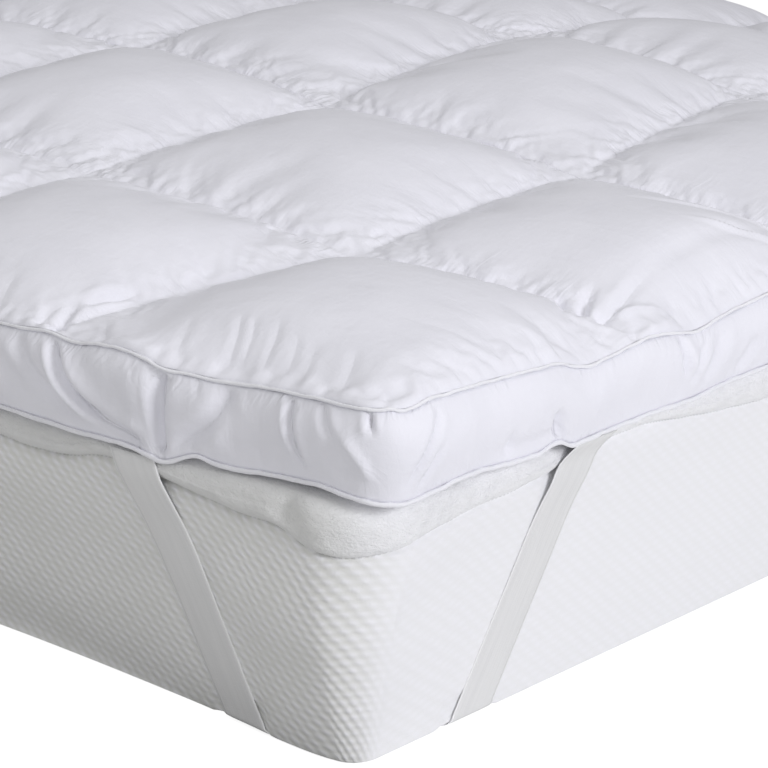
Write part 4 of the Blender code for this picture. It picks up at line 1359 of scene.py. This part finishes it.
def block(name, first_column, last_column, first_row, last_row):
    """A closed mesh of the boxes between two columns and two rows, the last ones left out."""
    wide, long = fine_c.shape[0] - 1, fine_c.shape[1] - 1
    ends_c = np.concatenate([[0], np.cumsum(fine_cells_across)])
    ends_r = np.concatenate([[0], np.cumsum(fine_cells_along)])
    i0, i1, j0, j1 = ends_c[first_column], ends_c[last_column], ends_r[first_row], ends_r[last_row]
    lines = j1 - j0 + 1
    top = panel[i0 : i1 + 1, j0 : j1 + 1].reshape(-1, 3)
    top_place = np.stack([fine_x, fine_y, 0 * fine_x], axis=-1)[i0 : i1 + 1, j0 : j1 + 1]
    points, places = [top], [top_place.reshape(-1, 3)]
    folds = [panel_folds[i0 : i1 + 1, j0 : j1 + 1].reshape(-1, 2)]
    rim_distances = [np.tile([1.0, 1.0, 0.0, GUSSET_HEIGHT], (len(top), 1))]
    faces = quads_of_grid(i1 - i0 + 1, lines)
    at = (faces // lines + i0, faces % lines + j0)
    box_c = np.searchsorted(ends_c, at[0].min(axis=1), side="right")[:, None] - 1
    box_r = np.searchsorted(ends_r, at[1].min(axis=1), side="right")[:, None] - 1
    distances = box_distances(fine_c[at], fine_r[at], fine_x[at], fine_y[at], box_c, box_r)
    distances = np.stack(distances[:4], axis=-1)
    distances[box_c[:, 0] == 0, :, 0] = distances[box_c[:, 0] == len(CELLS_ACROSS) - 1, :, 1] = 1.0
    distances[box_r[:, 0] == 0, :, 2] = distances[box_r[:, 0] == len(CELLS_ALONG) - 1, :, 3] = 1.0
    distances = distances.reshape(-1, 4)
    faces = faces.tolist()
    count = len(top)
    loop = [(i, j0) for i in range(i0, i1)] + [(i1, j) for j in range(j0, j1)]
    loop += [(i, j1) for i in range(i1, i0, -1)] + [(i0, j) for j in range(j1, j0, -1)]
    going_down = []
    for i, j in loop:
        on_top = (i - i0) * lines + (j - j0)
        if i in (0, wide) or j in (0, long):
            number = rim_number(i, j)
            below = rim_rings[1:, number]
            folds.append(rim_folds[1:, number])
            drop = fine_rim["top"][number] - below[:, 2]
            left_over = below[:, 2] - fine_rim["bottom"][number]
            ends = GUSSET_FADE * np.column_stack([drop, left_over])
            rim_distances.append(np.column_stack([np.ones((len(drop), 2)), ends]))
            place = np.column_stack([0 * drop + rim_run[number], -drop, 0 * drop + 1.0])
        else:
            x = fine_x[i, j].clip(RIM_WIDTH, BED_WIDTH - RIM_WIDTH)
            y = fine_y[i, j].clip(RIM_WIDTH, BED_LENGTH - RIM_WIDTH)
            x = x + WALL_SPREAD * (fine_x[i, j] - x)
            y = y + WALL_SPREAD * (fine_y[i, j] - y)
            flat_x, flat_y = plan(x, y)
            below = np.array([[flat_x, flat_y, UNDERSIDE]])
            folds.append(np.zeros((1, 2)))
            rim_distances.append(np.ones((1, 4)))
            place = np.array([[fine_x[i, j], fine_y[i, j], 2.0]])
        going_down.append([on_top] + list(range(count, count + len(below))))
        points.append(below)
        places.append(place)
        count += len(below)
    middle = np.mean([points[k + 1][-1] for k in range(len(loop))], axis=0)
    points.append(middle[None, :])
    folds.append(np.zeros((1, 2)))
    rim_distances.append(np.ones((1, 4)))
    places.append(np.array([[0.0, 0.0, 3.0]]))
    for here, after in zip(going_down, going_down[1:] + going_down[:1]):
        if len(here) == len(after) > 2:
            faces += [
                [here[k], here[k + 1], after[k + 1], after[k]] for k in range(len(here) - 1)
            ]
        else:
            faces.append(here + after[::-1])
        faces.append([count, after[-1], here[-1]])
    return mesh_piece(
        name,
        np.concatenate(points),
        faces,
        [COTTON],
        np.concatenate(places),
        ROUND_TRIP,
        distances=distances,
        rim_distances=np.concatenate(rim_distances),
        folds=np.concatenate(folds),
    )


BLOCKS = (
    ("name", "first_column", "last_column", "first_row", "last_row"),
    ("filled_boxes_near", 0, 2, 0, 4),
    ("filled_boxes_foot", 2, 4, 0, 4),
    ("filled_boxes_right", 4, 5, 0, 4),
    ("filled_boxes_head", 0, 5, 4, 7),
)
for row in rows(BLOCKS):
    piece = block(**row)
    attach(piece, "root")
    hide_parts("topper")

# %% [markdown]
# ## The piping
#
# A cord three to four millimetres thick, sewn into the seam in a folded strip.  It is a circle
# carried along the seam line, a little thicker here and thinner there.


# %% Piping
CORD_SIDES = 10
CORD_UNEVEN = 0.12              # how much thicker or thinner it gets, as a share of its radius
CORD_WANDER, CORD_RIPPLE = 0.0006, 0.0003


def piping(name, key):
    """A closed tube: seam line + radius (cos a, sin a) in the plane of outward and up."""
    radius = CORD_RADIUS[key] * (1 + CORD_UNEVEN * ripple(41, rim_run / 0.009))
    height = fine_rim[key] + CORD_WANDER * ripple(42, rim_run / 0.014)
    height = height + CORD_RIPPLE * ripple(43, rim_run / 0.006)
    rings = []
    for side in range(CORD_SIDES + 1):
        angle = 2 * math.pi * side / CORD_SIDES
        out = (radius * math.cos(angle))[:, None]
        rings.append(ring(fine_rim, height, out, radius * math.sin(angle)))
    points = np.array(rings[:-1]).reshape(-1, 3)
    per_ring = len(rim_run)
    number = np.arange(CORD_SIDES * per_ring).reshape(CORD_SIDES, per_ring)
    over, on = np.roll(number, -1, axis=0), np.roll(number, -1, axis=1)
    both = np.roll(over, -1, axis=1)
    faces = np.stack([number, on, both, over], axis=-1).reshape(-1, 4)
    turn = np.repeat(np.arange(CORD_SIDES), per_ring) * 2 * math.pi * CORD_RADIUS[key] / CORD_SIDES
    places = np.column_stack([np.tile(rim_run, CORD_SIDES), turn, 0 * turn])
    piece = mesh_piece(name, points, faces, [PIPING], places, ROUND_TRIP)
    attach(piece, "root")
    return piece


upper_cord = piping("upper_piping", "top")
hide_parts("piping_top")
lower_cord = piping("lower_piping", "bottom")
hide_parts("piping_bottom")

# %% [markdown]
# ## The straps
#
# A strap hangs from the lower seam, lies about a millimetre off the mattress, turns round its
# bottom edge and crosses under the corner.  Its middle line on a face is a line in the plane of
# "out" and "up".  A section is level on a face, and under the mattress it swings round until it
# meets the other face's.  The left side leans, so both straps there lean with it.

# %% How the left side leans
LEFT_SWAY = (
    ("along", "out"),           # the lower half of the side: out near the corner, in beyond
    (0.000, 0.0060),
    (0.030, 0.0110),
    (0.075, 0.0105),
    (0.120, 0.0055),
    (0.170, 0.0010),
    (0.220, -0.0020),
    (0.300, -0.0060),
    (0.400, -0.0090),
    (0.650, -0.0040),
    (1.000, 0.0),
    (2.000, 0.0),
)
LOW_EDGE_ROLL = 0.0012          # the low edge of the left side rolls in under the mattress
SWAY_HEIGHTS = (0.080, 0.160)   # full below the first, none above the second
ROLL_HEIGHTS = (0.0, 0.040)
SWAY_INWARDS = (0.012, 0.100)   # full up to the first distance in from the side, none past the second


def swayed(points):
    """Points near the left side, moved out or in with the mattress under them.

    The move is full below 0.08 m, none above the stitched seam, and fades over 90 mm inwards.
    """
    inside = points[:, 0] + BED_WIDTH / 2
    out = smooth_line(
        points[:, 1] + BED_LENGTH / 2, column(LEFT_SWAY, "along"), column(LEFT_SWAY, "out")
    )
    near = 1 - ramp(inside, *SWAY_INWARDS)
    share = (1 - ramp(points[:, 2], *SWAY_HEIGHTS)) * near
    rolled = LOW_EDGE_ROLL * (1 - ramp(points[:, 2], *ROLL_HEIGHTS)) * near
    moved = points.copy()
    moved[:, 0] -= out * share - rolled
    return moved


print("the side leans out by", max(column(LEFT_SWAY, "out")), "m at most")

# %% Straps
STRAP_THICKNESS = 0.0010
STRAP_CLEARANCE = 0.0009
STRAP_LIFT = 0.0005
STRAP_LEAN = math.radians(33)
TURN_RADIUS = 0.0040
BELOW_CORD = 0.0001             # from the lower cord to a strap's upper end, besides GAP
ABOVE_TURN = 0.003              # the straight part ends this far above the turn
BAND_STEP = 0.0036              # how much further out a strap lies where it crosses the plush band
SWING_RUN = 0.029               # the way over which a strap's section swings to half a right angle
FACE_POINTS, TURN_POINTS, BRIDGE_POINTS = 38, 12, 12    # down a face, round the edge, underneath
ACROSS_POINTS = 13
STRAPS = (
    ("corner", "x_sign", "y_sign", "top_x_face", "low_x_face", "top_y_face", "low_y_face"),
    ("front_left", -1, -1, 0.242, 0.120, 0.265, 0.126),
    ("front_right", 1, -1, 0.255, 0.123, 0.255, 0.123),
    ("back_left", -1, 1, 0.255, 0.123, 0.255, 0.123),
    ("back_right", 1, 1, 0.255, 0.123, 0.255, 0.123),
)


def strap_side_path(side, along):
    """The strap's middle line on one face as (out, up): straight down, then a quarter arc."""
    close = STRAP_CLEARANCE + STRAP_THICKNESS / 2
    low = STRAP_LIFT + STRAP_THICKNESS / 2
    hang = float(side_value(side, "out", np.array(along)))
    seam = float(side_value(side, "bottom", np.array(along)))
    start = seam - CORD_RADIUS["bottom"] - GAP - BELOW_CORD
    height = np.linspace(start, low + TURN_RADIUS + ABOVE_TURN, FACE_POINTS)
    levels = np.array([-0.1, 0.10, 0.150, 0.170, 0.186, 0.193, start])
    band = close + BAND_STEP
    outs = np.array([close, close, close + 0.0010, band, band + 0.001, (band + hang) / 2, hang])
    down = np.column_stack([smooth_line(height, levels, outs), height])
    angle = np.linspace(0, math.pi / 2, TURN_POINTS)
    turn = np.column_stack([
        close - TURN_RADIUS + TURN_RADIUS * np.cos(angle),
        low + TURN_RADIUS - TURN_RADIUS * np.sin(angle),
    ])
    return np.concatenate([down, turn])


def strap_half(row, side, axis):
    """One face's share of a strap: edge-to-edge points of its outer and inner skin."""
    top = row["top_x_face"] if axis == 0 else row["top_y_face"]
    low = row["low_x_face"] if axis == 0 else row["low_y_face"]
    away = -row["y_sign"] if axis == 0 else -row["x_sign"]
    side_length = BED_LENGTH if axis == 0 else BED_WIDTH
    path = strap_side_path(side, top if away == 1 else side_length - top)
    ahead = np.gradient(path, axis=0)
    ahead /= np.linalg.norm(ahead, axis=1)[:, None]
    normal = np.column_stack([-ahead[:, 1], ahead[:, 0]])
    run = np.concatenate([[0], np.cumsum(np.linalg.norm(np.diff(path, axis=0), axis=1))])
    turn_run = run[-TURN_POINTS]
    middle = top + (low - top) * np.minimum(run / turn_run, 1.0) - np.maximum(run - turn_run, 0.0)
    swing = np.clip((run - turn_run) / SWING_RUN, 0, 1)
    lean = STRAP_LEAN + (math.pi / 4 - STRAP_LEAN) * swing
    half_width = STRAP_WIDTH / 2 / np.cos(lean)
    across = np.linspace(-1, 1, ACROSS_POINTS)
    thick = STRAP_THICKNESS / 2 * np.sqrt(1 - 0.75 * across**8)
    shift = np.concatenate([thick, -thick[::-1]])
    edge = np.concatenate([across, across[::-1]])
    out = path[:, None, 0] + normal[:, None, 0] * shift
    up = path[:, None, 1] + normal[:, None, 1] * shift
    distance = middle[:, None] + half_width[:, None] * edge
    corner = (row["x_sign"] * BED_WIDTH / 2, row["y_sign"] * BED_LENGTH / 2)
    outward = row["x_sign"] if axis == 0 else row["y_sign"]
    points = np.empty(out.shape + (3,))
    points[..., axis] = corner[axis] + outward * out
    points[..., 1 - axis] = corner[1 - axis] + away * distance
    points[..., 2] = up
    return points


def strap(row):
    """A whole strap as one closed strip from seam to seam."""
    x_side = "left" if row["x_sign"] < 0 else "right"
    y_side = "front" if row["y_sign"] < 0 else "back"
    first = strap_half(row, x_side, 0)
    second = strap_half(row, y_side, 1)[::-1]
    part = np.linspace(0, 1, BRIDGE_POINTS + 2)[1:-1, None, None]
    bridge = first[-1] * (1 - part) + second[0] * part
    sections = np.concatenate([first, bridge, second])
    sections = swayed(sections.reshape(-1, 3)).reshape(sections.shape)
    middle = sections.mean(axis=1)
    run = np.concatenate([[0], np.cumsum(np.linalg.norm(np.diff(middle, axis=0), axis=1))])
    count, per = sections.shape[:2]
    number = np.arange(count * per).reshape(count, per)
    on = np.roll(number, -1, axis=1)
    faces = np.stack([number[:-1], on[:-1], on[1:], number[1:]], axis=-1).reshape(-1, 4).tolist()
    faces += [number[0].tolist()[::-1], number[-1].tolist()]
    across = np.linspace(-1, 1, ACROSS_POINTS) * STRAP_WIDTH / 2
    across = np.concatenate([across, across[::-1]])
    places = np.stack(
        [np.repeat(run[:, None], per, 1), np.repeat(across[None, :], count, 0)], axis=-1
    )
    places = np.concatenate([places, np.zeros(places.shape[:2] + (1,))], axis=-1)
    piece = mesh_piece(
        "elastic_" + row["corner"], sections.reshape(-1, 3), faces, [ELASTIC], places.reshape(-1, 3)
    )
    turn_outwards(piece)
    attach(piece, "root")
    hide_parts("strap_" + row["corner"])
    return piece


for row in rows(STRAPS):
    strap(row)

# %% [markdown]
# ## The mattress
#
# One surface of two parameters: the way round its outline, and the way up its side.  The side
# goes in under the bottom edge, up the knitted face, into the stitched seam, out over the plush
# band and round the top edge.  The seam wanders, and the plush swells out in places.

# %% The mattress's side
SEAM_FROM_CORNER = {
    "left": (
        ("along", "height"),
        (0.00, 0.1570),
        (0.04, 0.1585),
        (0.058, 0.1630),
        (0.075, 0.1690),
        (0.12, 0.1715),
        (0.20, 0.1800),
        (0.27, 0.1850),
        (0.33, 0.1750),
        (0.42, 0.1770),
        (0.60, 0.1700),
        (1.30, 0.1720),
        (2.00, 0.1680),
    ),
    "front": (
        ("along", "height"),
        (0.00, 0.1570),
        (0.05, 0.1630),
        (0.10, 0.1700),
        (0.19, 0.1740),
        (0.26, 0.1840),
        (0.34, 0.1870),
        (0.41, 0.1780),
        (0.53, 0.1680),
        (0.80, 0.1700),
        (1.50, 0.1680),
    ),
}
CORNER_RADII = (
    ("height", "radius"),       # the corner is sharp at the bottom, where the cover is drawn tight
    (0.000, 0.019),
    (0.060, 0.030),
    (0.120, 0.043),
    (0.165, 0.056),
    (0.200, 0.064),
)
SEAM_ROWS = (
    ("above", "inset"),         # from the seam, the groove that its thread pulls in
    (-0.0150, -0.0008),
    (-0.0090, 0.0000),
    (-0.0050, 0.0008),
    (-0.0028, 0.0018),
    (-0.0012, 0.0032),
    (0.0000, 0.0042),
    (0.0008, 0.0022),
    (0.0018, 0.0000),
    (0.0038, -0.0022),
    (0.0080, -0.0036),
)
SEAM_WANDER = 0.0006
SEAM_TUCK = 0.35                # how unevenly its thread is drawn
MATTRESS_STEP = 0.006
ARC_STEPS = 20
UNDER_FROM, UNDER_STEP = 0.134, 0.007       # insets of the rings on the underside
KNIT_RINGS, PLUSH_RINGS = 25, 6
KNIT_SWELL, KNIT_SPREAD = 0.0012, 0.0008    # in the middle of the knitted side, and at its top
KNIT_SAG = 0.0016               # how far it wanders in and out
PLUSH_SWELL, PLUSH_WANDER, PLUSH_RIPPLE = 0.0034, 0.0020, 0.0008
TOP_INSET = 0.110               # of the last ring, which lies on the top
TOP_EDGE_RADIUS = 0.014
BOTTOM_EDGE_RADIUS = 0.0018
PLUSH_MARKS = (
    ("along", "out", "reach"),  # on the left side: a dent beside the corner, and a lump before it
    (0.067, -0.0085, 0.010),
    (0.036, 0.0030, 0.018),
)
PRESS_FADE = 0.007              # from a strap's edge to where it presses no more, underneath
PRESS_BELOW = 0.022             # the mattress is pressed below this height only
PRESS_TURN = 0.006              # up to this height it is pressed up, and above it inwards
PRESS_UP = 0.0023
PRESS_IN = 0.0016
ON_FACE = 0.002                 # a point this near the outline counts as on its flat face
BESIDE_HALF = STRAP_WIDTH * 0.62    # from a strap's middle line: the knit lies flat up to there
BESIDE_FADE = 0.014
BESIDE_LOW, BESIDE_HIGH = (0.004, 0.012), (0.135, 0.155)    # where this starts and ends, upwards
BESIDE_IN = 0.0006              # the flat knit lies this far outside the mattress's outline
STRAP_TOP = 0.200               # the height at which a strap's middle line is at its top place


def bed_outline(radius):
    """Points round the mattress with the given corner radius, outward directions, and run.

    Every radius gives the same number of points, so that rings of different radii join up.
    """
    flat, outward = [], []
    half = np.array([BED_WIDTH / 2, BED_LENGTH / 2])
    for normal, way in (((0, -1), (1, 0)), ((1, 0), (0, 1)), ((0, 1), (-1, 0)), ((-1, 0), (0, -1))):
        normal, way = np.array(normal, float), np.array(way, float)
        reach = float(np.abs(way) @ half) - radius
        count = round(2 * float(np.abs(way) @ half) / MATTRESS_STEP)
        along = np.linspace(-reach, reach, count, endpoint=False)[:, None]
        flat.append(normal * half + way * along)
        outward.append(np.repeat(normal[None, :], count, axis=0))
        angle = np.linspace(0, math.pi / 2, ARC_STEPS, endpoint=False)[:, None]
        turned = normal * np.cos(angle) + way * np.sin(angle)
        flat.append((normal + way) * (half - radius) + radius * turned)
        outward.append(turned)
    flat, outward = np.concatenate(flat), np.concatenate(outward)
    step = np.linalg.norm(np.diff(flat, axis=0, append=flat[:1]), axis=1)
    return flat, outward, np.concatenate([[0.0], np.cumsum(step)[:-1]]), float(step.sum())


bed_flat, bed_outward, bed_run, BED_TRIP = bed_outline(0.05)
print("mattress outline:", len(bed_run), "points")


# %% Shaping the mattress
def seam_line():
    """The height of the stitched seam round the mattress, blended round the near corner."""
    x, y = bed_flat[:, 0] + BED_WIDTH / 2, bed_flat[:, 1] + BED_LENGTH / 2
    heights = {
        side: smooth_line(place, column(table, "along"), column(table, "height"))
        for (side, table), place in zip(SEAM_FROM_CORNER.items(), (y, x))
    }
    share = bed_outward[:, 0] ** 2
    line = heights["left"] * share + heights["front"] * (1 - share)
    return line + SEAM_WANDER * ripple(55, bed_run / 0.02)


def strap_press(points):
    """1 where a strap crosses under a corner, 0 away from it."""
    press = np.zeros(len(points))
    for row in rows(STRAPS):
        a = points[:, 0] * -row["x_sign"] + BED_WIDTH / 2
        b = points[:, 1] * -row["y_sign"] + BED_LENGTH / 2
        middle = (row["low_x_face"] + row["low_y_face"]) / 2 + TURN_RADIUS * (1 - math.pi / 2)
        off = np.abs(a + b - middle) / math.sqrt(2)
        press = np.maximum(press, 1 - ramp(off, STRAP_WIDTH / 2, STRAP_WIDTH / 2 + PRESS_FADE))
    return press


def strap_beside(flat, height):
    """1 where a strap lies against the knitted side, 0 away from it and above the seam."""
    beside = np.zeros(len(flat))
    for row in rows(STRAPS):
        from_x_face = np.abs(flat[:, 0] * row["x_sign"] - BED_WIDTH / 2)
        from_y_face = np.abs(flat[:, 1] * row["y_sign"] - BED_LENGTH / 2)
        for away, along, key in (
            (from_x_face, from_y_face, "x_face"), (from_y_face, from_x_face, "y_face")
        ):
            top, low = row["top_" + key], row["low_" + key]
            middle = low + (top - low) * height / STRAP_TOP
            off = np.abs(along - middle)
            there = (away < ON_FACE) * (1 - ramp(off, BESIDE_HALF, BESIDE_HALF + BESIDE_FADE))
            beside = np.maximum(beside, there)
    return beside * ramp(height, *BESIDE_LOW) * (1 - ramp(height, *BESIDE_HIGH))


def mattress_rings():
    """Rings from the underside, up the side and onto the top: inset, height, finish."""
    seam = seam_line()
    count = len(bed_run)
    rings = [(np.full(count, inset), np.zeros(count), "knit") for inset in
             np.arange(UNDER_FROM, BOTTOM_EDGE_RADIUS + 0.002, -UNDER_STEP)]
    for angle in np.radians(np.arange(0, 91, 18)):
        inset = BOTTOM_EDGE_RADIUS * (1 - math.sin(angle))
        height = BOTTOM_EDGE_RADIUS * (1 - math.cos(angle))
        rings.append((np.full(count, inset), np.full(count, height), "knit"))
    seam_rows = rows(SEAM_ROWS)
    lowest = seam + seam_rows[0]["above"]
    for part in np.linspace(0, 1, KNIT_RINGS + 1)[1:]:
        height = BOTTOM_EDGE_RADIUS + (lowest - BOTTOM_EDGE_RADIUS) * part
        swell = KNIT_SWELL * math.sin(math.pi * part) + KNIT_SPREAD * part
        sag = KNIT_SAG * cloud(51, bed_run / 0.13, height / 0.06 + 3.0)
        sag = sag * math.sin(math.pi * part) ** 0.5
        rings.append((-swell - sag, height, "knit"))
    for row in seam_rows[1:]:
        tuck = 1 + SEAM_TUCK * ripple(52, bed_run / 0.016)
        finish = "knit" if row["above"] <= 0 else "plush"
        rings.append((row["inset"] * tuck, seam + row["above"], finish))
    swell = PLUSH_SWELL + PLUSH_WANDER * ripple(53, bed_run / 0.045)
    swell = swell + PLUSH_RIPPLE * ripple(54, bed_run / 0.017)
    on_left = bed_outward[:, 0] < -0.5
    along = bed_flat[:, 1] + BED_LENGTH / 2
    for row in rows(PLUSH_MARKS):
        off = (along - row["along"]) / row["reach"]
        swell = swell + on_left * row["out"] * np.exp(-(off**2))
    inset, start = rings[-1][0], rings[-1][1]
    top_start = np.maximum(MATTRESS_HEIGHT - TOP_EDGE_RADIUS, start + 0.003)
    for part in np.linspace(0, 1, PLUSH_RINGS + 1)[1:]:
        out = -swell * math.sin(math.pi * (0.25 + 0.5 * part))
        rings.append((inset * (1 - part) + out * part, start + (top_start - start) * part, "plush"))
    inset, start = rings[-1][0], rings[-1][1]
    for angle in np.radians(np.arange(10, 91, 10)):
        across = inset + (TOP_EDGE_RADIUS - inset) * (1 - math.cos(angle))
        rings.append((across, start + (MATTRESS_HEIGHT - start) * math.sin(angle), "plush"))
    rings.append((np.full(count, TOP_INSET), np.full(count, MATTRESS_HEIGHT), "plush"))
    return rings, seam


def mattress():
    """The closed mattress: rings between two fans."""
    rings, seam = mattress_rings()
    heights, radii = column(CORNER_RADII, "height"), column(CORNER_RADII, "radius")
    points, places = [], []
    climbed, before = np.zeros(len(bed_run)), None
    for inset, height, _ in rings:
        radius = float(np.interp(height.mean(), heights, radii)) if height.mean() > 0 else radii[0]
        flat = bed_outline(max(radius, float(inset.max()) + 0.004))[0]
        beside = strap_beside(flat, height)
        inset = inset * (1 - beside) - BESIDE_IN * beside
        ring_points = swayed(np.column_stack([flat - bed_outward * inset[:, None], height]))
        press = strap_press(ring_points) * (height < PRESS_BELOW)
        turned = ramp(height, 0.0, PRESS_TURN)
        ring_points[:, 2] += PRESS_UP * press * (1 - turned)
        ring_points[:, :2] -= bed_outward * (PRESS_IN * press * turned)[:, None]
        if before is not None:
            climbed = climbed + np.linalg.norm(ring_points - before, axis=1)
        before = ring_points
        points.append(ring_points)
        places.append(np.column_stack([bed_run, climbed, height - seam]))
    count, per = len(rings), len(bed_run)
    number = np.arange(count * per).reshape(count, per)
    on = np.roll(number, -1, axis=1)
    faces = np.stack([number[:-1], on[:-1], on[1:], number[1:]], axis=-1).reshape(-1, 4).tolist()
    plush_rings = np.array([kind == "plush" for _, _, kind in rings[1:]])
    finish_of_face = np.repeat(plush_rings, per).astype(int)
    under, over = count * per, count * per + 1
    points += [np.zeros((1, 3)), np.array([[0.0, 0.0, MATTRESS_HEIGHT]])]
    places += [np.zeros((2, 3))]
    faces += [[under, on[0, k], number[0, k]] for k in range(per)]
    faces += [[over, number[-1, k], on[-1, k]] for k in range(per)]
    finish_of_face = np.concatenate([finish_of_face, np.zeros(per, int), np.ones(per, int)])
    piece = mesh_piece(
        "knitted_mattress",
        np.concatenate(points),
        faces,
        [KNIT, PLUSH],
        np.concatenate(places),
        BED_TRIP,
        finish_of_face,
    )
    # share of the pads, and of the painted shade of the knit and plush: full on the long sides, low
    # at foot and head
    share = 1 - (1 - PADS_AND_SHADE_AT_FOOT) * np.tile(bed_outward[:, 1] ** 4, count)
    kept = piece.data.attributes.new("pad_and_shade_share", "FLOAT", "POINT")
    kept.data.foreach_set("value", np.append(share, [1.0, 1.0]).astype(np.float32))
    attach(piece, "root")
    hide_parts("mattress")
    return piece


mattress()

# %% [markdown]
# ## Floor and light
#
# A plain pale floor and soft studio light.  The light comes from the right of the camera, so the
# foot of the bed is brightest and the left side is in soft shade.

# %% Floor
FLOOR_SIZE = 30.0
FLOOR_DROP = 0.0005             # it lies this far below the mattress
FLOOR_SHINE = 0.85              # added to what the camera sees of the floor, so it is plain white
FLOOR_BOUNCE = 0.38             # a painted glow, as bounce light, that it gives to everything else
PAINTED_SHADOW_REACH = 0.22             # how far to the left of the bed a painted shadow dims that glow


def pale_floor():
    """Matt paper that looks white, and glows on everything else with painted bounce light, less and
    less of it in a painted shadow left of the bed.
    """
    paper = Finish("pale_floor", 0.9, specular=0.5)
    paper.shader.inputs["Base Color"].default_value = (0.40, 0.40, 0.40, 1)
    paper.shader.inputs["Emission Color"].default_value = (1, 1, 1, 1)
    side = -BED_WIDTH / 2
    x = paper.parts(paper.node("ShaderNodeTexCoord").outputs["Object"])[0]
    shadow = {0: x, 1: side - PAINTED_SHADOW_REACH, 2: side, 3: FLOOR_BOUNCE, 4: 0.0}
    # painted shadow: the floor's glow fades to nothing over a strip left of the bed
    left = paper.node("ShaderNodeMapRange", shadow).outputs[0]
    both = {0: paper.math("GREATER_THAN", x, side), 1: FLOOR_BOUNCE, 2: left}
    given = paper.node("ShaderNodeMath", both, operation="MULTIPLY_ADD").outputs[0]
    seen = paper.node("ShaderNodeLightPath").outputs["Is Camera Ray"]
    shine = paper.node("ShaderNodeMapRange", {0: seen, 3: given, 4: FLOOR_SHINE}).outputs[0]
    paper.tree.links.new(shine, paper.shader.inputs["Emission Strength"])
    return paper.material


floor_mesh = bpy.data.meshes.new("floor")
corners = [(-1, -1), (1, -1), (1, 1), (-1, 1)]
floor_points = [(x * FLOOR_SIZE, y * FLOOR_SIZE, -FLOOR_DROP) for x, y in corners]
floor_mesh.from_pydata(floor_points, [], [(0, 1, 2, 3)])
floor_mesh.materials.append(pale_floor())
floor = bpy.data.objects.new("floor", floor_mesh)
bpy.context.scene.collection.objects.link(floor)
print("floor laid")

# %% Light
LIGHTS = (
    ("name", "x", "y", "z", "size", "power"),
    ("key", -0.80, -5.20, 1.95, 1.5, 106.0),
    ("fill", -2.35, -1.20, 1.63, 1.2, 6.7),
    ("overhead", -0.4, -0.4, 4.0, 4.0, 49.5),
)
LIGHT_COLOURS = {"key": (0.985, 0.985, 1.03)}       # the others are white
AIMED_AT = np.array([-0.3, -0.5, 0.2])
WORLD_STRENGTH = 0.25

for row in rows(LIGHTS):
    light = bpy.data.lights.new(row["name"], "AREA")
    light.size, light.energy = row["size"], row["power"]
    light.color = LIGHT_COLOURS.get(row["name"], (1.0, 1.0, 1.0))
    lamp = bpy.data.objects.new(row["name"], light)
    bpy.context.scene.collection.objects.link(lamp)
    lamp.location = (row["x"], row["y"], row["z"])
    aim = -(np.array([row["x"], row["y"], row["z"]]) - AIMED_AT)
    lamp.rotation_euler = (
        math.acos(aim[2] / np.linalg.norm(aim)) - math.pi,
        0,
        math.atan2(aim[1], aim[0]) + math.pi / 2,
    )
world = bpy.data.worlds.new("studio")
world.use_nodes = True
background = world.node_tree.nodes["Background"]
background.inputs["Color"].default_value = (1.0, 1.0, 1.0, 1.0)
background.inputs["Strength"].default_value = WORLD_STRENGTH
bpy.context.scene.world = world
bpy.context.scene.view_settings.view_transform = "Standard"
print("lights placed")
